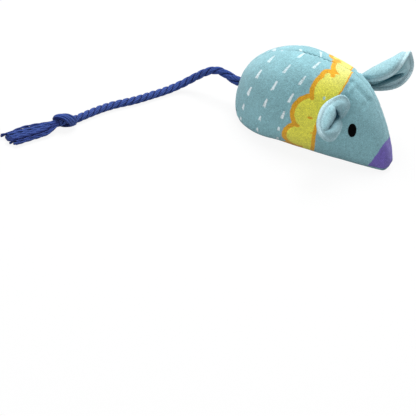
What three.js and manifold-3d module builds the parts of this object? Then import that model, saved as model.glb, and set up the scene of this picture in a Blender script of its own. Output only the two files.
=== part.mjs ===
// Catnip mouse: a stuffed cloth mouse with rolled ears, embroidered eyes and a cord tail.
// Millimetres, +Z up, nose towards +X, the mouse's left towards +Y.
// The origin is on the belly's flat face, half way along the body.

import * as THREE from 'three';
import { mergeVertices } from 'three/addons/utils/BufferGeometryUtils.js';
import Module from 'manifold-3d';

const wasm = await Module();
wasm.setup();

// Clearance between neighbouring pieces
const GAP = 0.3;

// Body
const BODY_LENGTH = 105;
const BODY_WIDTH = 52;
const BODY_HEIGHT = 56;
const CROWN_X = -9;
const WIDEST_X = -20;
const RUMP_Z = 19.5;
const RUMP_ROUND = 11;
const NOSE_Z = 5.6;
const NOSE_WIDTH = 9.3;
const NOSE_ROUND = 5;
const BELLY_CUT = 0.8;

// How full the body's curves are: a higher power is squarer, a softer one runs in straighter
const BACK_POWER = 1.93;
const BROW_POWER = 3.25;
const BROW_SOFT = 0.975;
const CHEEK_POWER = 1.59;
const CHEEK_SOFT = 1.085;
const FLANK_POWER = 2.3;
const HAUNCH_POWER = 4;
const HAUNCH_SHARE = 0.34;

// Cloth, thread and filling
const CLOTH = 1.6;
const THREAD = 0.5;
const SEAM_ROOM = THREAD + 2 * GAP;

// Catnip pouch
const POUCH_LENGTH = 42;
const POUCH_WIDTH = 26;
const POUCH_HEIGHT = 12;
const POUCH_CLOTH = 0.6;
const POUCH_SQUARENESS = 4;

// Ears: the root lies on the skin at a station and an angle above the widest line
const EAR_LENGTH = 36;
const EAR_WIDTH = 24;
const EAR_DEPTH = 13;
const EAR_ROOT_WIDTH = 9;
const EAR_SINK = 5;
const EAR_CURL = 112;
const EAR_FULL_AT = 0.6;
const EAR_CLOTH = 2.2;
const EAR_X = 18.6;
const EAR_ANGLE = 33;
const EAR_TACK = 9;
const EAR_FLOP_ON = 25;
const EAR_FLOP_BACK = 45;
const RIGHT_EAR = { side: -1, lean: -25, rise: -5, twist: 0 };
const LEFT_EAR = { side: 1, lean: 24, rise: 22, twist: 12 };

// Eyes
const EYE_X = 26.2;
const EYE_ANGLE = 16.5;
const EYE_WIDTH = 5.2;
const EYE_HEIGHT = 8.4;
const EYE_RISE = 0.7;
const EYE_LEAN = 14;

// Tail
const CORD = 5;
const TAIL_Z = 16.5;
const TAIL_TUCK = 14;
const WHIPPING = 1;
const KNOT_LENGTH = 14;
const KNOT_WIDTH = 10;
const TASSEL_LENGTH = 37;
const TASSEL_NECK = 7;
const TASSEL_WIDTH = 11;
const TASSEL_HEIGHT = 4.5;
const TASSEL_HEADING = 60;

// The tail's route from the rump: distance back, distance to the right, clear height under the cord
const TAIL_ROUTE = [
  [5.5, 0, 14.4],
  [10, 0, 15.4],
  [14.5, 0.2, 15.6],
  [18.5, 0.8, 14.2],
  [22.5, 1.8, 11.2],
  [27, 4.2, 7],
  [31.6, 8.4, 3],
  [36.2, 15, 0.6],
  [40.2, 22.5, 0],
  [44.2, 30, 0],
  [48, 37.2, 0],
  [52, 44, 0],
  [56.2, 50.3, 0],
  [59.8, 56, 0],
  [63, 62, 0],
  [66, 68.3, 0],
  [68.8, 74.8, 0],
  [71.4, 81.2, 0],
  [74.4, 88, 0],
];

// How finely round forms are divided: around, then along
const FINE = [36, 26];
const COARSE = [24, 16];
const PILLOW = [20, 8];
const EAR_FACE = [24, 7];
const LUMP = [16, 10];
const BUNDLE = [14, 6];
const CORD_SIDES = 10;
const THREAD_SIDES = 6;

const REAR = -BODY_LENGTH / 2;
const NOSE = BODY_LENGTH / 2;
const REACH = BODY_LENGTH + BODY_WIDTH + BODY_HEIGHT;
const POUCH_Z = CLOTH + GAP + POUCH_HEIGHT / 2;
const UP = new THREE.Vector3(0, 0, 1);

const TEAL = { color: 0x86b0b9, roughness: 0.95, metalness: 0 };
const PALE_CLOTH = { color: 0xe9e4d6, roughness: 0.95, metalness: 0 };
const WHITE_FIBRE = { color: 0xf2f2ee, roughness: 1, metalness: 0 };
const HERB = { color: 0x6f7a45, roughness: 1, metalness: 0 };
const BLACK_THREAD = { color: 0x080808, roughness: 0.7, metalness: 0 };
const TEAL_THREAD = { color: 0x6d97a2, roughness: 0.8, metalness: 0 };
const BLUE_CORD = { color: 0x405289, roughness: 0.85, metalness: 0 };

// Solids

function toSolid(geometry) {
  const bare = geometry.clone();
  bare.deleteAttribute('normal');
  bare.deleteAttribute('uv');
  const welded = mergeVertices(bare);
  const corners = [];
  for (let i = 0; i < welded.index.count; i += 3) {
    const [a, b, c] = [0, 1, 2].map((k) => welded.index.getX(i + k));
    if (a !== b && b !== c && c !== a) {
      corners.push(a, b, c);
    }
  }
  return new wasm.Manifold(new wasm.Mesh({
    numProp: 3,
    vertProperties: new Float32Array(welded.attributes.position.array),
    triVerts: new Uint32Array(corners),
  }));
}

function toMesh(name, solid, finish) {
  const mesh = solid.getMesh();
  const geometry = new THREE.BufferGeometry();
  geometry.setAttribute('position', new THREE.BufferAttribute(mesh.vertProperties, 3));
  geometry.setIndex(new THREE.BufferAttribute(mesh.triVerts, 1));
  geometry.computeVertexNormals();
  const piece = new THREE.Mesh(geometry, new THREE.MeshStandardMaterial(finish));
  piece.name = name;
  return piece;
}

function reshape(geometry, place) {
  const position = geometry.attributes.position;
  const point = new THREE.Vector3();
  for (let i = 0; i < position.count; i += 1) {
    point.fromBufferAttribute(position, i);
    const moved = place(point);
    position.setXYZ(i, moved.x, moved.y, moved.z);
  }
  return geometry;
}

function block(low, high) {
  const size = new THREE.Vector3().subVectors(high, low);
  const box = new THREE.BoxGeometry(size.x, size.y, size.z);
  const middle = new THREE.Vector3().addVectors(low, high).multiplyScalar(0.5);
  return toSolid(box.translate(middle.x, middle.y, middle.z));
}

function slab(lowZ, highZ) {
  return block(new THREE.Vector3(-REACH, -REACH, lowZ), new THREE.Vector3(REACH, REACH, highZ));
}

function halfSpace(side) {
  const [near, far] = [side * GAP / 2, side * REACH];
  return block(
    new THREE.Vector3(-REACH, Math.min(near, far), -REACH),
    new THREE.Vector3(REACH, Math.max(near, far), REACH),
  );
}

function rod(radius, fromX, toX, z) {
  const cylinder = new THREE.CylinderGeometry(radius, radius, toX - fromX, CORD_SIDES);
  return toSolid(cylinder.rotateZ(Math.PI / 2).translate((fromX + toX) / 2, 0, z));
}

function strand(points, diameter, sides, steps) {
  const section = new THREE.Shape();
  section.absarc(0, 0, diameter / 2, 0, 2 * Math.PI);
  return new THREE.ExtrudeGeometry(section, {
    steps,
    curveSegments: sides / 2,
    bevelEnabled: false,
    extrudePath: new THREE.CatmullRomCurve3(points),
  });
}

// Body form

function share(part, whole) {
  return THREE.MathUtils.clamp(part / whole, 0, 1);
}

function swell(t, power, soft) {
  return Math.pow(1 - Math.pow(t, power), 1 / soft);
}

function signedPower(value, power) {
  return Math.sign(value) * Math.pow(Math.abs(value), power);
}

// The body's cross-section at x. Growing the skin moves it outwards all round.
function section(x, grow) {
  const rumpEnd = REAR - grow;
  const noseEnd = NOSE + grow;
  const crown = BODY_HEIGHT + grow;
  const underside = -BELLY_CUT - grow;
  const rumpLift = 1 - swell(share(rumpEnd + RUMP_ROUND - x, RUMP_ROUND), 2, 2);
  const noseLift = 1 - swell(share(x - noseEnd + NOSE_ROUND, NOSE_ROUND), 2, 2);
  const bottom = underside + (RUMP_Z - underside) * rumpLift + (NOSE_Z - underside) * noseLift;
  const back = swell(share(CROWN_X - x, CROWN_X - rumpEnd), BACK_POWER, BACK_POWER);
  const brow = swell(share(x - CROWN_X, noseEnd - CROWN_X), BROW_POWER, BROW_SOFT);
  const top = x < CROWN_X ? RUMP_Z + (crown - RUMP_Z) * back : NOSE_Z + (crown - NOSE_Z) * brow;
  const rump = swell(share(WIDEST_X - x, WIDEST_X - rumpEnd), 2, 2);
  const cheek = swell(share(x - WIDEST_X, noseEnd - WIDEST_X), CHEEK_POWER, CHEEK_SOFT);
  const muzzle = NOSE_WIDTH / 2 + grow;
  const flank = BODY_WIDTH / 2 + grow;
  const half = x < WIDEST_X ? flank * rump : muzzle + (flank - muzzle) * cheek;
  return { half: half * (1 - noseLift), top: Math.max(top, bottom), bottom };
}

// A point of the skin: angle 0 is the widest line on the left, a quarter turn the middle of the back.
function skinPoint(x, angle, grow) {
  const { half, top, bottom } = section(x, grow);
  const widest = bottom + HAUNCH_SHARE * (top - bottom);
  const power = 2 / (Math.sin(angle) < 0 ? HAUNCH_POWER : FLANK_POWER);
  const across = signedPower(Math.cos(angle), power);
  const up = signedPower(Math.sin(angle), power);
  const rise = up < 0 ? widest - bottom : top - widest;
  return new THREE.Vector3(x, half * across, widest + rise * up);
}

function bodySolid(grow, around, along) {
  const ball = new THREE.SphereGeometry(1, around, along);
  const halfLength = BODY_LENGTH / 2 + grow;
  return toSolid(reshape(ball, (p) => skinPoint(p.y * halfLength, Math.atan2(p.x, p.z), grow)));
}

// The skin's own directions at a point: forwards, up the girth and straight out.
function skinFrame(x, degrees, side) {
  const angle = THREE.MathUtils.degToRad(degrees);
  const small = 0.01;
  const place = (dx, da) => {
    const point = skinPoint(x + dx, angle + da, 0);
    return new THREE.Vector3(point.x, side * point.y, point.z);
  };
  const forward = place(small, 0).sub(place(-small, 0)).normalize();
  const girth = place(0, small).sub(place(0, -small)).normalize();
  const out = new THREE.Vector3().crossVectors(girth, forward).multiplyScalar(side).normalize();
  const ahead = new THREE.Vector3().crossVectors(out, girth).multiplyScalar(side).normalize();
  return { point: place(0, 0), ahead, girth, out };
}

// Cloth panels and filling

const skin = bodySolid(0, ...FINE);
const lining = bodySolid(-CLOTH, ...FINE);
const tailHole = rod(CORD / 2 + GAP, REAR - CORD, REAR + RUMP_ROUND, TAIL_Z);
const shell = skin.subtract(lining).intersect(slab(CLOTH + GAP, REACH)).subtract(tailHole);

function sidePanel(name, side) {
  return toMesh(name, shell.intersect(halfSpace(side)), TEAL);
}

function bellyPanel() {
  return toMesh('belly_panel', skin.intersect(slab(0, CLOTH)), TEAL);
}

// A squarish pillow, smaller all round by shrink. With a skirt its lower half goes straight down.
function pillow(shrink, skirt) {
  const ball = new THREE.SphereGeometry(1, ...PILLOW).rotateX(Math.PI / 2);
  const size = new THREE.Vector3(POUCH_LENGTH, POUCH_WIDTH, POUCH_HEIGHT);
  const half = size.multiplyScalar(0.5).subScalar(shrink);
  const small = 1e-6;
  const form = reshape(ball, (p) => {
    const turn = Math.atan2(p.y, p.x);
    const along = Math.abs(Math.cos(turn)) ** POUCH_SQUARENESS;
    const across = Math.abs(Math.sin(turn)) ** POUCH_SQUARENESS;
    const stretch = (along + across) ** (-1 / POUCH_SQUARENESS);
    const rise = p.z < -small && skirt ? -POUCH_Z - half.z : p.z * half.z;
    return new THREE.Vector3(p.x * stretch * half.x, p.y * stretch * half.y, POUCH_Z + rise);
  });
  return toSolid(form);
}

function pouchPieces() {
  const cloth = pillow(0, false).subtract(pillow(POUCH_CLOTH, false));
  return [
    toMesh('catnip_pouch_top', cloth.intersect(slab(POUCH_Z + GAP / 2, REACH)), PALE_CLOTH),
    toMesh('catnip_pouch_base', cloth.intersect(slab(-REACH, POUCH_Z - GAP / 2)), PALE_CLOTH),
    toMesh('dried_catnip', pillow(POUCH_CLOTH + GAP, false), HERB),
  ];
}

function stuffing() {
  const whippingRoom = CORD / 2 + GAP + WHIPPING + GAP;
  const tailRoom = rod(whippingRoom, REAR - CORD, REAR + TAIL_TUCK + GAP, TAIL_Z);
  const core = bodySolid(-CLOTH - SEAM_ROOM, ...COARSE);
  const fibre = core.intersect(slab(CLOTH + GAP, REACH)).subtract(pillow(-GAP, true)).subtract(tailRoom);
  return toMesh('stuffing', fibre, WHITE_FIBRE);
}

// Seams: the thread lies just inside the cloth

const THREAD_DEPTH = -CLOTH - GAP - THREAD / 2;

function backSeamThread() {
  const steps = 30;
  const first = REAR + RUMP_ROUND;
  const last = NOSE - NOSE_ROUND;
  const points = [];
  for (let i = 0; i <= steps; i += 1) {
    points.push(skinPoint(first + (last - first) * i / steps, Math.PI / 2, THREAD_DEPTH));
  }
  return toMesh('back_seam_thread', toSolid(strand(points, THREAD, THREAD_SIDES, steps)), TEAL_THREAD);
}

function bellySeamThread() {
  const steps = 48;
  // The thread's two ends stay this share of a turn from the middle of the rump
  const open = 0.004;
  const height = CLOTH + GAP + THREAD / 2;
  const underside = -BELLY_CUT - THREAD_DEPTH;
  const inset = (endZ, round) => {
    const lift = (height - underside) / (endZ - underside);
    return round * (1 - Math.sqrt(1 - (1 - lift) ** 2));
  };
  const first = REAR - THREAD_DEPTH + inset(RUMP_Z, RUMP_ROUND);
  const last = NOSE + THREAD_DEPTH - inset(NOSE_Z, NOSE_ROUND);
  const points = [];
  for (let i = 0; i <= steps; i += 1) {
    const turn = 2 * Math.PI * (open + (1 - 2 * open) * i / steps);
    const x = (first + last) / 2 - (last - first) / 2 * Math.cos(turn);
    const { half, top, bottom } = section(x, THREAD_DEPTH);
    const widest = bottom + HAUNCH_SHARE * (top - bottom);
    const drop = share(widest - height, widest - bottom);
    const reach = half * swell(drop, HAUNCH_POWER, HAUNCH_POWER);
    points.push(new THREE.Vector3(x, Math.sign(Math.sin(turn)) * reach, height));
  }
  return toMesh('belly_seam_thread', toSolid(strand(points, THREAD, THREAD_SIDES, steps)), TEAL_THREAD);
}

// Ears: a round flap, rolled lengthwise, with the tightest roll at its root

// Across, depth and length on the rolled flap, and the way out of it on the open side
function earPoint(p, q) {
  const grown = (q + 1) / 2;
  const fullness = Math.sin(Math.PI / 2 * Math.min(1, grown / EAR_FULL_AT));
  const halfWidth = (EAR_ROOT_WIDTH + (EAR_WIDTH - EAR_ROOT_WIDTH) * fullness) / 2;
  const halfDepth = (EAR_ROOT_WIDTH + (EAR_DEPTH - EAR_ROOT_WIDTH) * fullness) / 2;
  const turn = p * THREE.MathUtils.degToRad(EAR_CURL);
  const point = new THREE.Vector3(
    halfWidth * Math.sin(turn),
    halfDepth * (1 - Math.cos(turn)) - EAR_ROOT_WIDTH / 2,
    (EAR_LENGTH + EAR_SINK) * grown - EAR_SINK,
  );
  const open = new THREE.Vector3(-Math.sin(turn) / halfWidth, Math.cos(turn) / halfDepth, 0);
  return { point, open: open.normalize() };
}

// One cloth layer of an ear; face is 1 for the open side and -1 for the back.
function earLayer(face) {
  const dome = new THREE.SphereGeometry(1, ...EAR_FACE, 0, 2 * Math.PI, 0, Math.PI / 2);
  const outside = dome.rotateX(Math.PI / 2);
  const inside = outside.clone();
  const layer = (geometry, thickness) => reshape(geometry, (v) => {
    const { point, open } = earPoint(v.x, v.y);
    const rim = Math.sqrt(Math.max(0, v.z));
    return point.addScaledVector(open, face * (GAP / 2 + thickness * rim));
  });
  const shown = layer(outside, EAR_CLOTH).toNonIndexed();
  const hidden = layer(inside, 0).toNonIndexed();
  return joinFaces(face > 0 ? flip(shown) : shown, face > 0 ? hidden : flip(hidden));
}

function flip(geometry) {
  const position = geometry.attributes.position;
  const [a, b] = [new THREE.Vector3(), new THREE.Vector3()];
  for (let i = 0; i < position.count; i += 3) {
    a.fromBufferAttribute(position, i + 1);
    b.fromBufferAttribute(position, i + 2);
    position.setXYZ(i + 1, b.x, b.y, b.z);
    position.setXYZ(i + 2, a.x, a.y, a.z);
  }
  return geometry;
}

function joinFaces(first, second) {
  const joined = new THREE.BufferGeometry();
  const corners = [...first.attributes.position.array, ...second.attributes.position.array];
  joined.setAttribute('position', new THREE.Float32BufferAttribute(corners, 3));
  return joined;
}

function earFrame(ear) {
  const frame = skinFrame(EAR_X, EAR_ANGLE, ear.side);
  const [lean, rise, twist] = [ear.lean, ear.rise, ear.twist].map(THREE.MathUtils.degToRad);
  const along = frame.out.clone().applyAxisAngle(frame.girth, -ear.side * lean);
  const depth = frame.ahead.clone().applyAxisAngle(frame.girth, -ear.side * lean);
  along.applyAxisAngle(depth, ear.side * rise);
  depth.applyAxisAngle(along, twist);
  const across = new THREE.Vector3().crossVectors(depth, along);
  return { ...frame, place: new THREE.Matrix4().makeBasis(across, depth, along).setPosition(frame.point) };
}

// The head as the ear meets it over its whole flop, seen from the ear. The ear flops on the way
// that it leans, and back the other way.
function sweptHead(ear, { point, girth }) {
  const steps = 6;
  const way = Math.sign(ear.lean);
  const clear = bodySolid(GAP, ...FINE);
  const toRoot = new THREE.Matrix4().makeTranslation(-point.x, -point.y, -point.z);
  const fromRoot = new THREE.Matrix4().makeTranslation(point.x, point.y, point.z);
  let swept = clear;
  for (let i = 0; i <= steps; i += 1) {
    const degrees = way * (EAR_FLOP_ON - (EAR_FLOP_ON + EAR_FLOP_BACK) * i / steps);
    const flop = ear.side * THREE.MathUtils.degToRad(degrees);
    const turn = new THREE.Matrix4().makeRotationAxis(girth, flop).multiply(toRoot);
    swept = swept.add(clear.transform(turn.premultiply(fromRoot).elements));
  }
  return swept;
}

function earPieces(name, ear) {
  const frame = earFrame(ear);
  const head = sweptHead(ear, frame);
  const layer = (face) => toSolid(earLayer(face).applyMatrix4(frame.place)).subtract(head);
  return [
    toMesh(`${name}_ear_front_panel`, layer(1), TEAL),
    toMesh(`${name}_ear_back_panel`, layer(-1), TEAL),
  ];
}

function earTack(name, ear) {
  const steps = 6;
  const middle = THREE.MathUtils.degToRad(EAR_ANGLE);
  const inward = section(EAR_X, THREAD_DEPTH);
  const spread = EAR_TACK / (inward.top - inward.bottom);
  const points = [];
  for (let i = 0; i <= steps; i += 1) {
    const point = skinPoint(EAR_X, middle + spread * (i / steps - 0.5), THREAD_DEPTH);
    points.push(new THREE.Vector3(point.x, ear.side * point.y, point.z));
  }
  return toMesh(`${name}_ear_tack`, toSolid(strand(points, THREAD, THREAD_SIDES, steps)), TEAL_THREAD);
}

// Eyes: an oval pad of satin stitch on the skin

function eye(name, side) {
  const { point, girth, out } = skinFrame(EYE_X, EYE_ANGLE, side);
  const oval = new THREE.Shape();
  oval.absellipse(0, 0, EYE_WIDTH / 2, EYE_HEIGHT / 2, 0, 2 * Math.PI);
  const depth = EYE_HEIGHT;
  const prism = new THREE.ExtrudeGeometry(oval, { depth, curveSegments: 10, bevelEnabled: false });
  girth.applyAxisAngle(out, -side * THREE.MathUtils.degToRad(EYE_LEAN));
  const across = new THREE.Vector3().crossVectors(girth, out);
  const place = new THREE.Matrix4().makeBasis(across, girth, out).setPosition(point);
  const cutter = toSolid(prism.translate(0, 0, -depth / 2).applyMatrix4(place));
  const pad = bodySolid(GAP + EYE_RISE, ...FINE).subtract(bodySolid(GAP, ...FINE));
  return toMesh(`${name}_eye`, pad.intersect(cutter), BLACK_THREAD);
}

// Tail

const TAIL_EXIT = new THREE.Vector3(REAR, 0, TAIL_Z);
const TAIL_PIVOT = new THREE.Vector3(REAR - GAP - CORD / 2, 0, TAIL_Z);

function tailRoute() {
  const points = TAIL_ROUTE.map(([back, right, clear]) => (
    new THREE.Vector3(TAIL_EXIT.x - back, -right, clear + CORD / 2)
  ));
  return [TAIL_PIVOT, ...points];
}

function tailRoot() {
  return toMesh('tail_root', rod(CORD / 2, REAR, REAR + TAIL_TUCK, TAIL_Z), BLUE_CORD);
}

function tailWhipping() {
  const ring = new THREE.TorusGeometry(CORD / 2 + GAP + WHIPPING / 2, WHIPPING / 2, 6, 16);
  const x = REAR + CLOTH + CORD;
  return toMesh('tail_whipping', toSolid(ring.rotateY(Math.PI / 2).translate(x, 0, TAIL_Z)), TEAL_THREAD);
}

// The knot's own place: at the end of the cord, lying along it
function knotFrame() {
  const route = tailRoute();
  const end = route.at(-1);
  const heading = new THREE.Vector3().subVectors(end, route.at(-2)).setZ(0).normalize();
  const middle = end.clone().addScaledVector(heading, KNOT_LENGTH / 2 - GAP);
  middle.z = KNOT_WIDTH / 2;
  return { heading, middle };
}

function knotSolid(grow) {
  const { heading, middle } = knotFrame();
  const side = new THREE.Vector3().crossVectors(UP, heading);
  const place = new THREE.Matrix4().makeBasis(heading, side, UP).setPosition(middle);
  const half = new THREE.Vector3(KNOT_LENGTH, KNOT_WIDTH, KNOT_WIDTH).multiplyScalar(0.5).addScalar(grow);
  const lump = new THREE.SphereGeometry(1, ...LUMP).scale(half.x, half.y, half.z);
  return toSolid(lump.applyMatrix4(place));
}

function tailCord() {
  const route = tailRoute();
  const length = new THREE.CatmullRomCurve3(route).getLength();
  const steps = Math.round(length / (2 * CORD));
  const ball = new THREE.SphereGeometry(CORD / 2, CORD_SIDES, CORD_SIDES);
  const joint = toSolid(ball.translate(TAIL_PIVOT.x, TAIL_PIVOT.y, TAIL_PIVOT.z));
  const tube = toSolid(strand(route, CORD, CORD_SIDES, steps));
  return toMesh('tail_cord', tube.add(joint).subtract(knotSolid(GAP)), BLUE_CORD);
}

function tailKnot() {
  return toMesh('tail_knot', knotSolid(0), BLUE_CORD);
}

function tailTassel() {
  const { middle } = knotFrame();
  const turn = THREE.MathUtils.degToRad(TASSEL_HEADING);
  const heading = new THREE.Vector3(-Math.cos(turn), -Math.sin(turn), 0);
  const side = new THREE.Vector3().crossVectors(UP, heading);
  const bundle = new THREE.CylinderGeometry(1, 1, 1, ...BUNDLE);
  const form = reshape(bundle, (p) => {
    const t = p.y + 0.5;
    const width = TASSEL_NECK + (TASSEL_WIDTH - TASSEL_NECK) * t;
    const height = CORD + (TASSEL_HEIGHT - CORD) * t;
    return middle.clone()
      .addScaledVector(heading, KNOT_LENGTH / 2 - CORD / 2 + TASSEL_LENGTH * t)
      .addScaledVector(side, -p.x * width / 2)
      .setZ((1 + p.z) * height / 2);
  });
  return toMesh('tail_tassel', toSolid(form).subtract(knotSolid(GAP)), BLUE_CORD);
}

// Assembly

const mouse = new THREE.Group();
mouse.add(
  sidePanel('right_side_panel', -1),
  sidePanel('left_side_panel', 1),
  bellyPanel(),
  backSeamThread(),
  bellySeamThread(),
  stuffing(),
  ...pouchPieces(),
  ...earPieces('right', RIGHT_EAR),
  ...earPieces('left', LEFT_EAR),
  earTack('right', RIGHT_EAR),
  earTack('left', LEFT_EAR),
  eye('right', -1),
  eye('left', 1),
  tailRoot(),
  tailWhipping(),
  tailCord(),
  tailKnot(),
  tailTassel(),
);

export default mouse;
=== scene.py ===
"""A stuffed catnip mouse: printed velour body, folded ears, stitched eyes and a knotted cord tail."""
import math

import bpy
import numpy as np
from mathutils import Matrix, Vector, kdtree, noise


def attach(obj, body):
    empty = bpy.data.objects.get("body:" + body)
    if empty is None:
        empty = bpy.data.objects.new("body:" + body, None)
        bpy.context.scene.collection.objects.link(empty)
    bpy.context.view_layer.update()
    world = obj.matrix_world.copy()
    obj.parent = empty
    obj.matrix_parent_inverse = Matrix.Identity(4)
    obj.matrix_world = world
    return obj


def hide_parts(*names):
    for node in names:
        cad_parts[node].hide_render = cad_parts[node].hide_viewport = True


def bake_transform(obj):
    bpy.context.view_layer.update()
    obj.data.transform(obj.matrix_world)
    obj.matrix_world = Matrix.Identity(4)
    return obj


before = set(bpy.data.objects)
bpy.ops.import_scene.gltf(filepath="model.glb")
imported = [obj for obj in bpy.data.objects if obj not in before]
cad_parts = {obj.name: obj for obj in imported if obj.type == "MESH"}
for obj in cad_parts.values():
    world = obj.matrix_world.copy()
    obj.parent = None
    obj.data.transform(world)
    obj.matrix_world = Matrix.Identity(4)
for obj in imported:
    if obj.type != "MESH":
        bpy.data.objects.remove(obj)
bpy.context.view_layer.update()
MM = 0.001
TURN = 2 * math.pi

# Camera: the photograph's frame, in pixels, and where the camera stands

PHOTO_SIZE = 416
PHOTO_SCALE = 1.63
BELLY_PIXEL = (311.3, 135.7)
CAMERA_TURN = 11.1
CAMERA_RISE = 35.3
CAMERA_ROLL = 16.45
CAMERA_FAR = 2000

# Body sizes, in millimetres: +X to the nose, +Y to the mouse's left, +Z up

BODY_LENGTH = 105
BODY_WIDTH = 52
BODY_HEIGHT = 56
REAR = -BODY_LENGTH / 2
NOSE = BODY_LENGTH / 2
CROWN_X = -9
WIDEST_X = -20
RUMP_Z = 19.5
RUMP_ROUND = 11
NOSE_Z = 5.6
NOSE_WIDTH = 9.3
NOSE_ROUND = 3.8
BELLY_CUT = 0.8
BACK_POWER = 1.93
BROW_POWER = 3.25
BROW_SOFT = 0.975
CHEEK_POWER = 1.59
CHEEK_SOFT = 1.085
FLANK_POWER = 2.3
HAUNCH_POWER = 4
REAR_HAUNCH_POWER = 7
HAUNCH_SHARE = 0.34
CLOTH = 1.6
BASE_EDGE = 1.6
GAP = 0.3

# Ear sizes: the right ear is a cup that faces the camera, the left one a flap folded lengthwise

EAR_X = 18.6
EAR_ANGLE = 33
EAR_LENGTH = 36
EAR_WIDTH = 24
EAR_DEPTH = 13
EAR_ROOT_WIDTH = 9
EAR_SINK = 5
EAR_FULL_AT = 0.6
RIGHT_EAR = {"name": "right_ear", "cupped": True, "side": -1, "lean": -25, "rise": -5, "twist": 0}
LEFT_EAR = {
    "name": "left_ear", "cupped": False, "side": 1, "lean": 24, "rise": 22, "twist": 12, "bend": 8,
    "upper_curl": 126, "upper_square": 1.9, "lower_curl": 119, "lower_square": 2.5, "lower_full": 0.18,
}

# Eye sizes

EYE_X = 25.4
EYE_ANGLE = 15.4
EYE_WIDTH = 5.2
EYE_HEIGHT = 9.4
EYE_RISE = 0.7
EYE_LEAN = 14

# Tail: points back from the rump, to the mouse's right, and clear of the floor under the cord

CORD = 5
TAIL_Z = 16.5
TAIL_TUCK = 14
KNOT_LENGTH = 14
KNOT_WIDTH = 10
TASSEL_LENGTH = 37
TASSEL_WIDTH = 11
TASSEL_HEADING = 60
TAIL_ROUTE = [
    (0, 0, 14), (5.5, 0, 14.4), (10, 0, 15.4), (14.5, 0.2, 15.6), (18.5, 0.8, 14.2), (22.5, 1.8, 11.2),
    (27, 4.2, 7), (31.6, 8.4, 3), (36.2, 15, 0.6), (40.2, 22.5, 0), (44.2, 30, 0), (48, 37.2, 0),
    (52, 44, 0), (56.2, 50.3, 0), (59.8, 56, 0), (63, 62, 0), (66, 68.3, 0), (68.8, 74.8, 0),
    (71.4, 81.2, 0), (74.4, 88, 0),
]


# Small tools

def select_only(*pieces):
    bpy.ops.object.select_all(action="DESELECT")
    for piece in pieces:
        piece.select_set(True)
    bpy.context.view_layer.objects.active = pieces[0]


def named(name):
    """The primitive just added, under its own name."""
    piece = bpy.context.object
    piece.name = name
    piece.data.name = name
    return piece


def places_of(piece):
    """The piece's points, in millimetres."""
    flat = np.empty(len(piece.data.vertices) * 3)
    piece.data.vertices.foreach_get("co", flat)
    return flat.reshape(-1, 3) / MM


def move_points(piece, places):
    piece.data.vertices.foreach_set("co", np.ascontiguousarray(places * MM).ravel())
    piece.data.update()


def normals_of(piece):
    flat = np.empty(len(piece.data.vertices) * 3)
    piece.data.vertex_normals.foreach_get("vector", flat)
    return flat.reshape(-1, 3)


def ball_pad(name, segments, rings):
    """A ball to shape, with its points from -1 to 1."""
    bpy.ops.object.select_all(action="DESELECT")
    bpy.ops.mesh.primitive_uv_sphere_add(segments=segments, ring_count=rings, radius=1)
    piece = named(name)
    return piece, places_of(piece) * MM


def note(piece, **values):
    """Keeps one number for each point of the piece, under each of the given names."""
    for name, numbers in values.items():
        kept = piece.data.attributes.get(name) or piece.data.attributes.new(name, "FLOAT", "POINT")
        kept.data.foreach_set("value", np.ascontiguousarray(numbers, dtype=np.float32))


def noted(piece, *names):
    """The numbers kept under the given names."""
    values = np.empty((len(names), len(piece.data.vertices)), dtype=np.float32)
    for name, numbers in zip(names, values):
        piece.data.attributes[name].data.foreach_get("value", numbers)
    return values.astype(float)


def smooth(piece):
    select_only(piece)
    bpy.ops.object.shade_smooth()


def merge_doubles(piece, apart=0.004):
    select_only(piece)
    bpy.ops.object.mode_set(mode="EDIT")
    bpy.ops.mesh.select_all(action="SELECT")
    bpy.ops.mesh.remove_doubles(threshold=apart * MM)
    bpy.ops.object.mode_set(mode="OBJECT")


def ease(low, high, values):
    """A smooth step from 0 to 1."""
    t = np.clip((values - low) / (high - low), 0, 1)
    return t * t * (3 - 2 * t)


def bell(distance, width):
    return np.exp(-((distance / width) ** 2))


def lumps(places, size, seed):
    """A soft unevenness from -1 to 1, with swells about as wide as size."""
    shift = Vector((seed * 7.1, seed * 3.7, seed * 5.3))
    return np.array([noise.noise(Vector(place) / size + shift) for place in places])


def unit(vector):
    return vector / np.linalg.norm(vector)


def units(vectors):
    return vectors / np.linalg.norm(vectors, axis=1)[:, None]


def turned(vector, axis, degrees):
    return np.array(Matrix.Rotation(math.radians(degrees), 3, Vector(axis)) @ Vector(vector))


def square_reach(angle, power):
    """How far out a circle that a power makes squarer reaches, at an angle."""
    return (np.abs(np.cos(angle)) ** power + np.abs(np.sin(angle)) ** power) ** (-1 / power)


def run_along(line):
    """How far along a line each of its points is."""
    return np.concatenate([[0], np.cumsum(np.linalg.norm(np.diff(line, axis=0), axis=1))])


def points_at(line, run, places):
    """Points on a line, at places along its run."""
    return np.column_stack([np.interp(places, run, line[:, k]) for k in range(3)])


# Camera

def camera_turn():
    return (
        Matrix.Rotation(math.radians(CAMERA_TURN), 4, "Z")
        @ Matrix.Rotation(math.radians(90 - CAMERA_RISE), 4, "X")
        @ Matrix.Rotation(math.radians(CAMERA_ROLL), 4, "Z")
    )


def aim_camera():
    turn = camera_turn()
    across = (PHOTO_SIZE / 2 - BELLY_PIXEL[0]) / PHOTO_SCALE
    up = (BELLY_PIXEL[1] - PHOTO_SIZE / 2) / PHOTO_SCALE
    place = turn @ (Vector((across, up, CAMERA_FAR)) * MM)
    bpy.ops.object.camera_add()
    camera = bpy.context.object
    camera.matrix_world = Matrix.Translation(place) @ turn
    camera.data.lens = camera.data.sensor_width * PHOTO_SCALE * CAMERA_FAR / PHOTO_SIZE
    camera.data.clip_end = 20
    bpy.context.scene.camera = camera


# Tail: three strands of yarns laid left-handed, an overhand knot and a loose tassel

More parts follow.
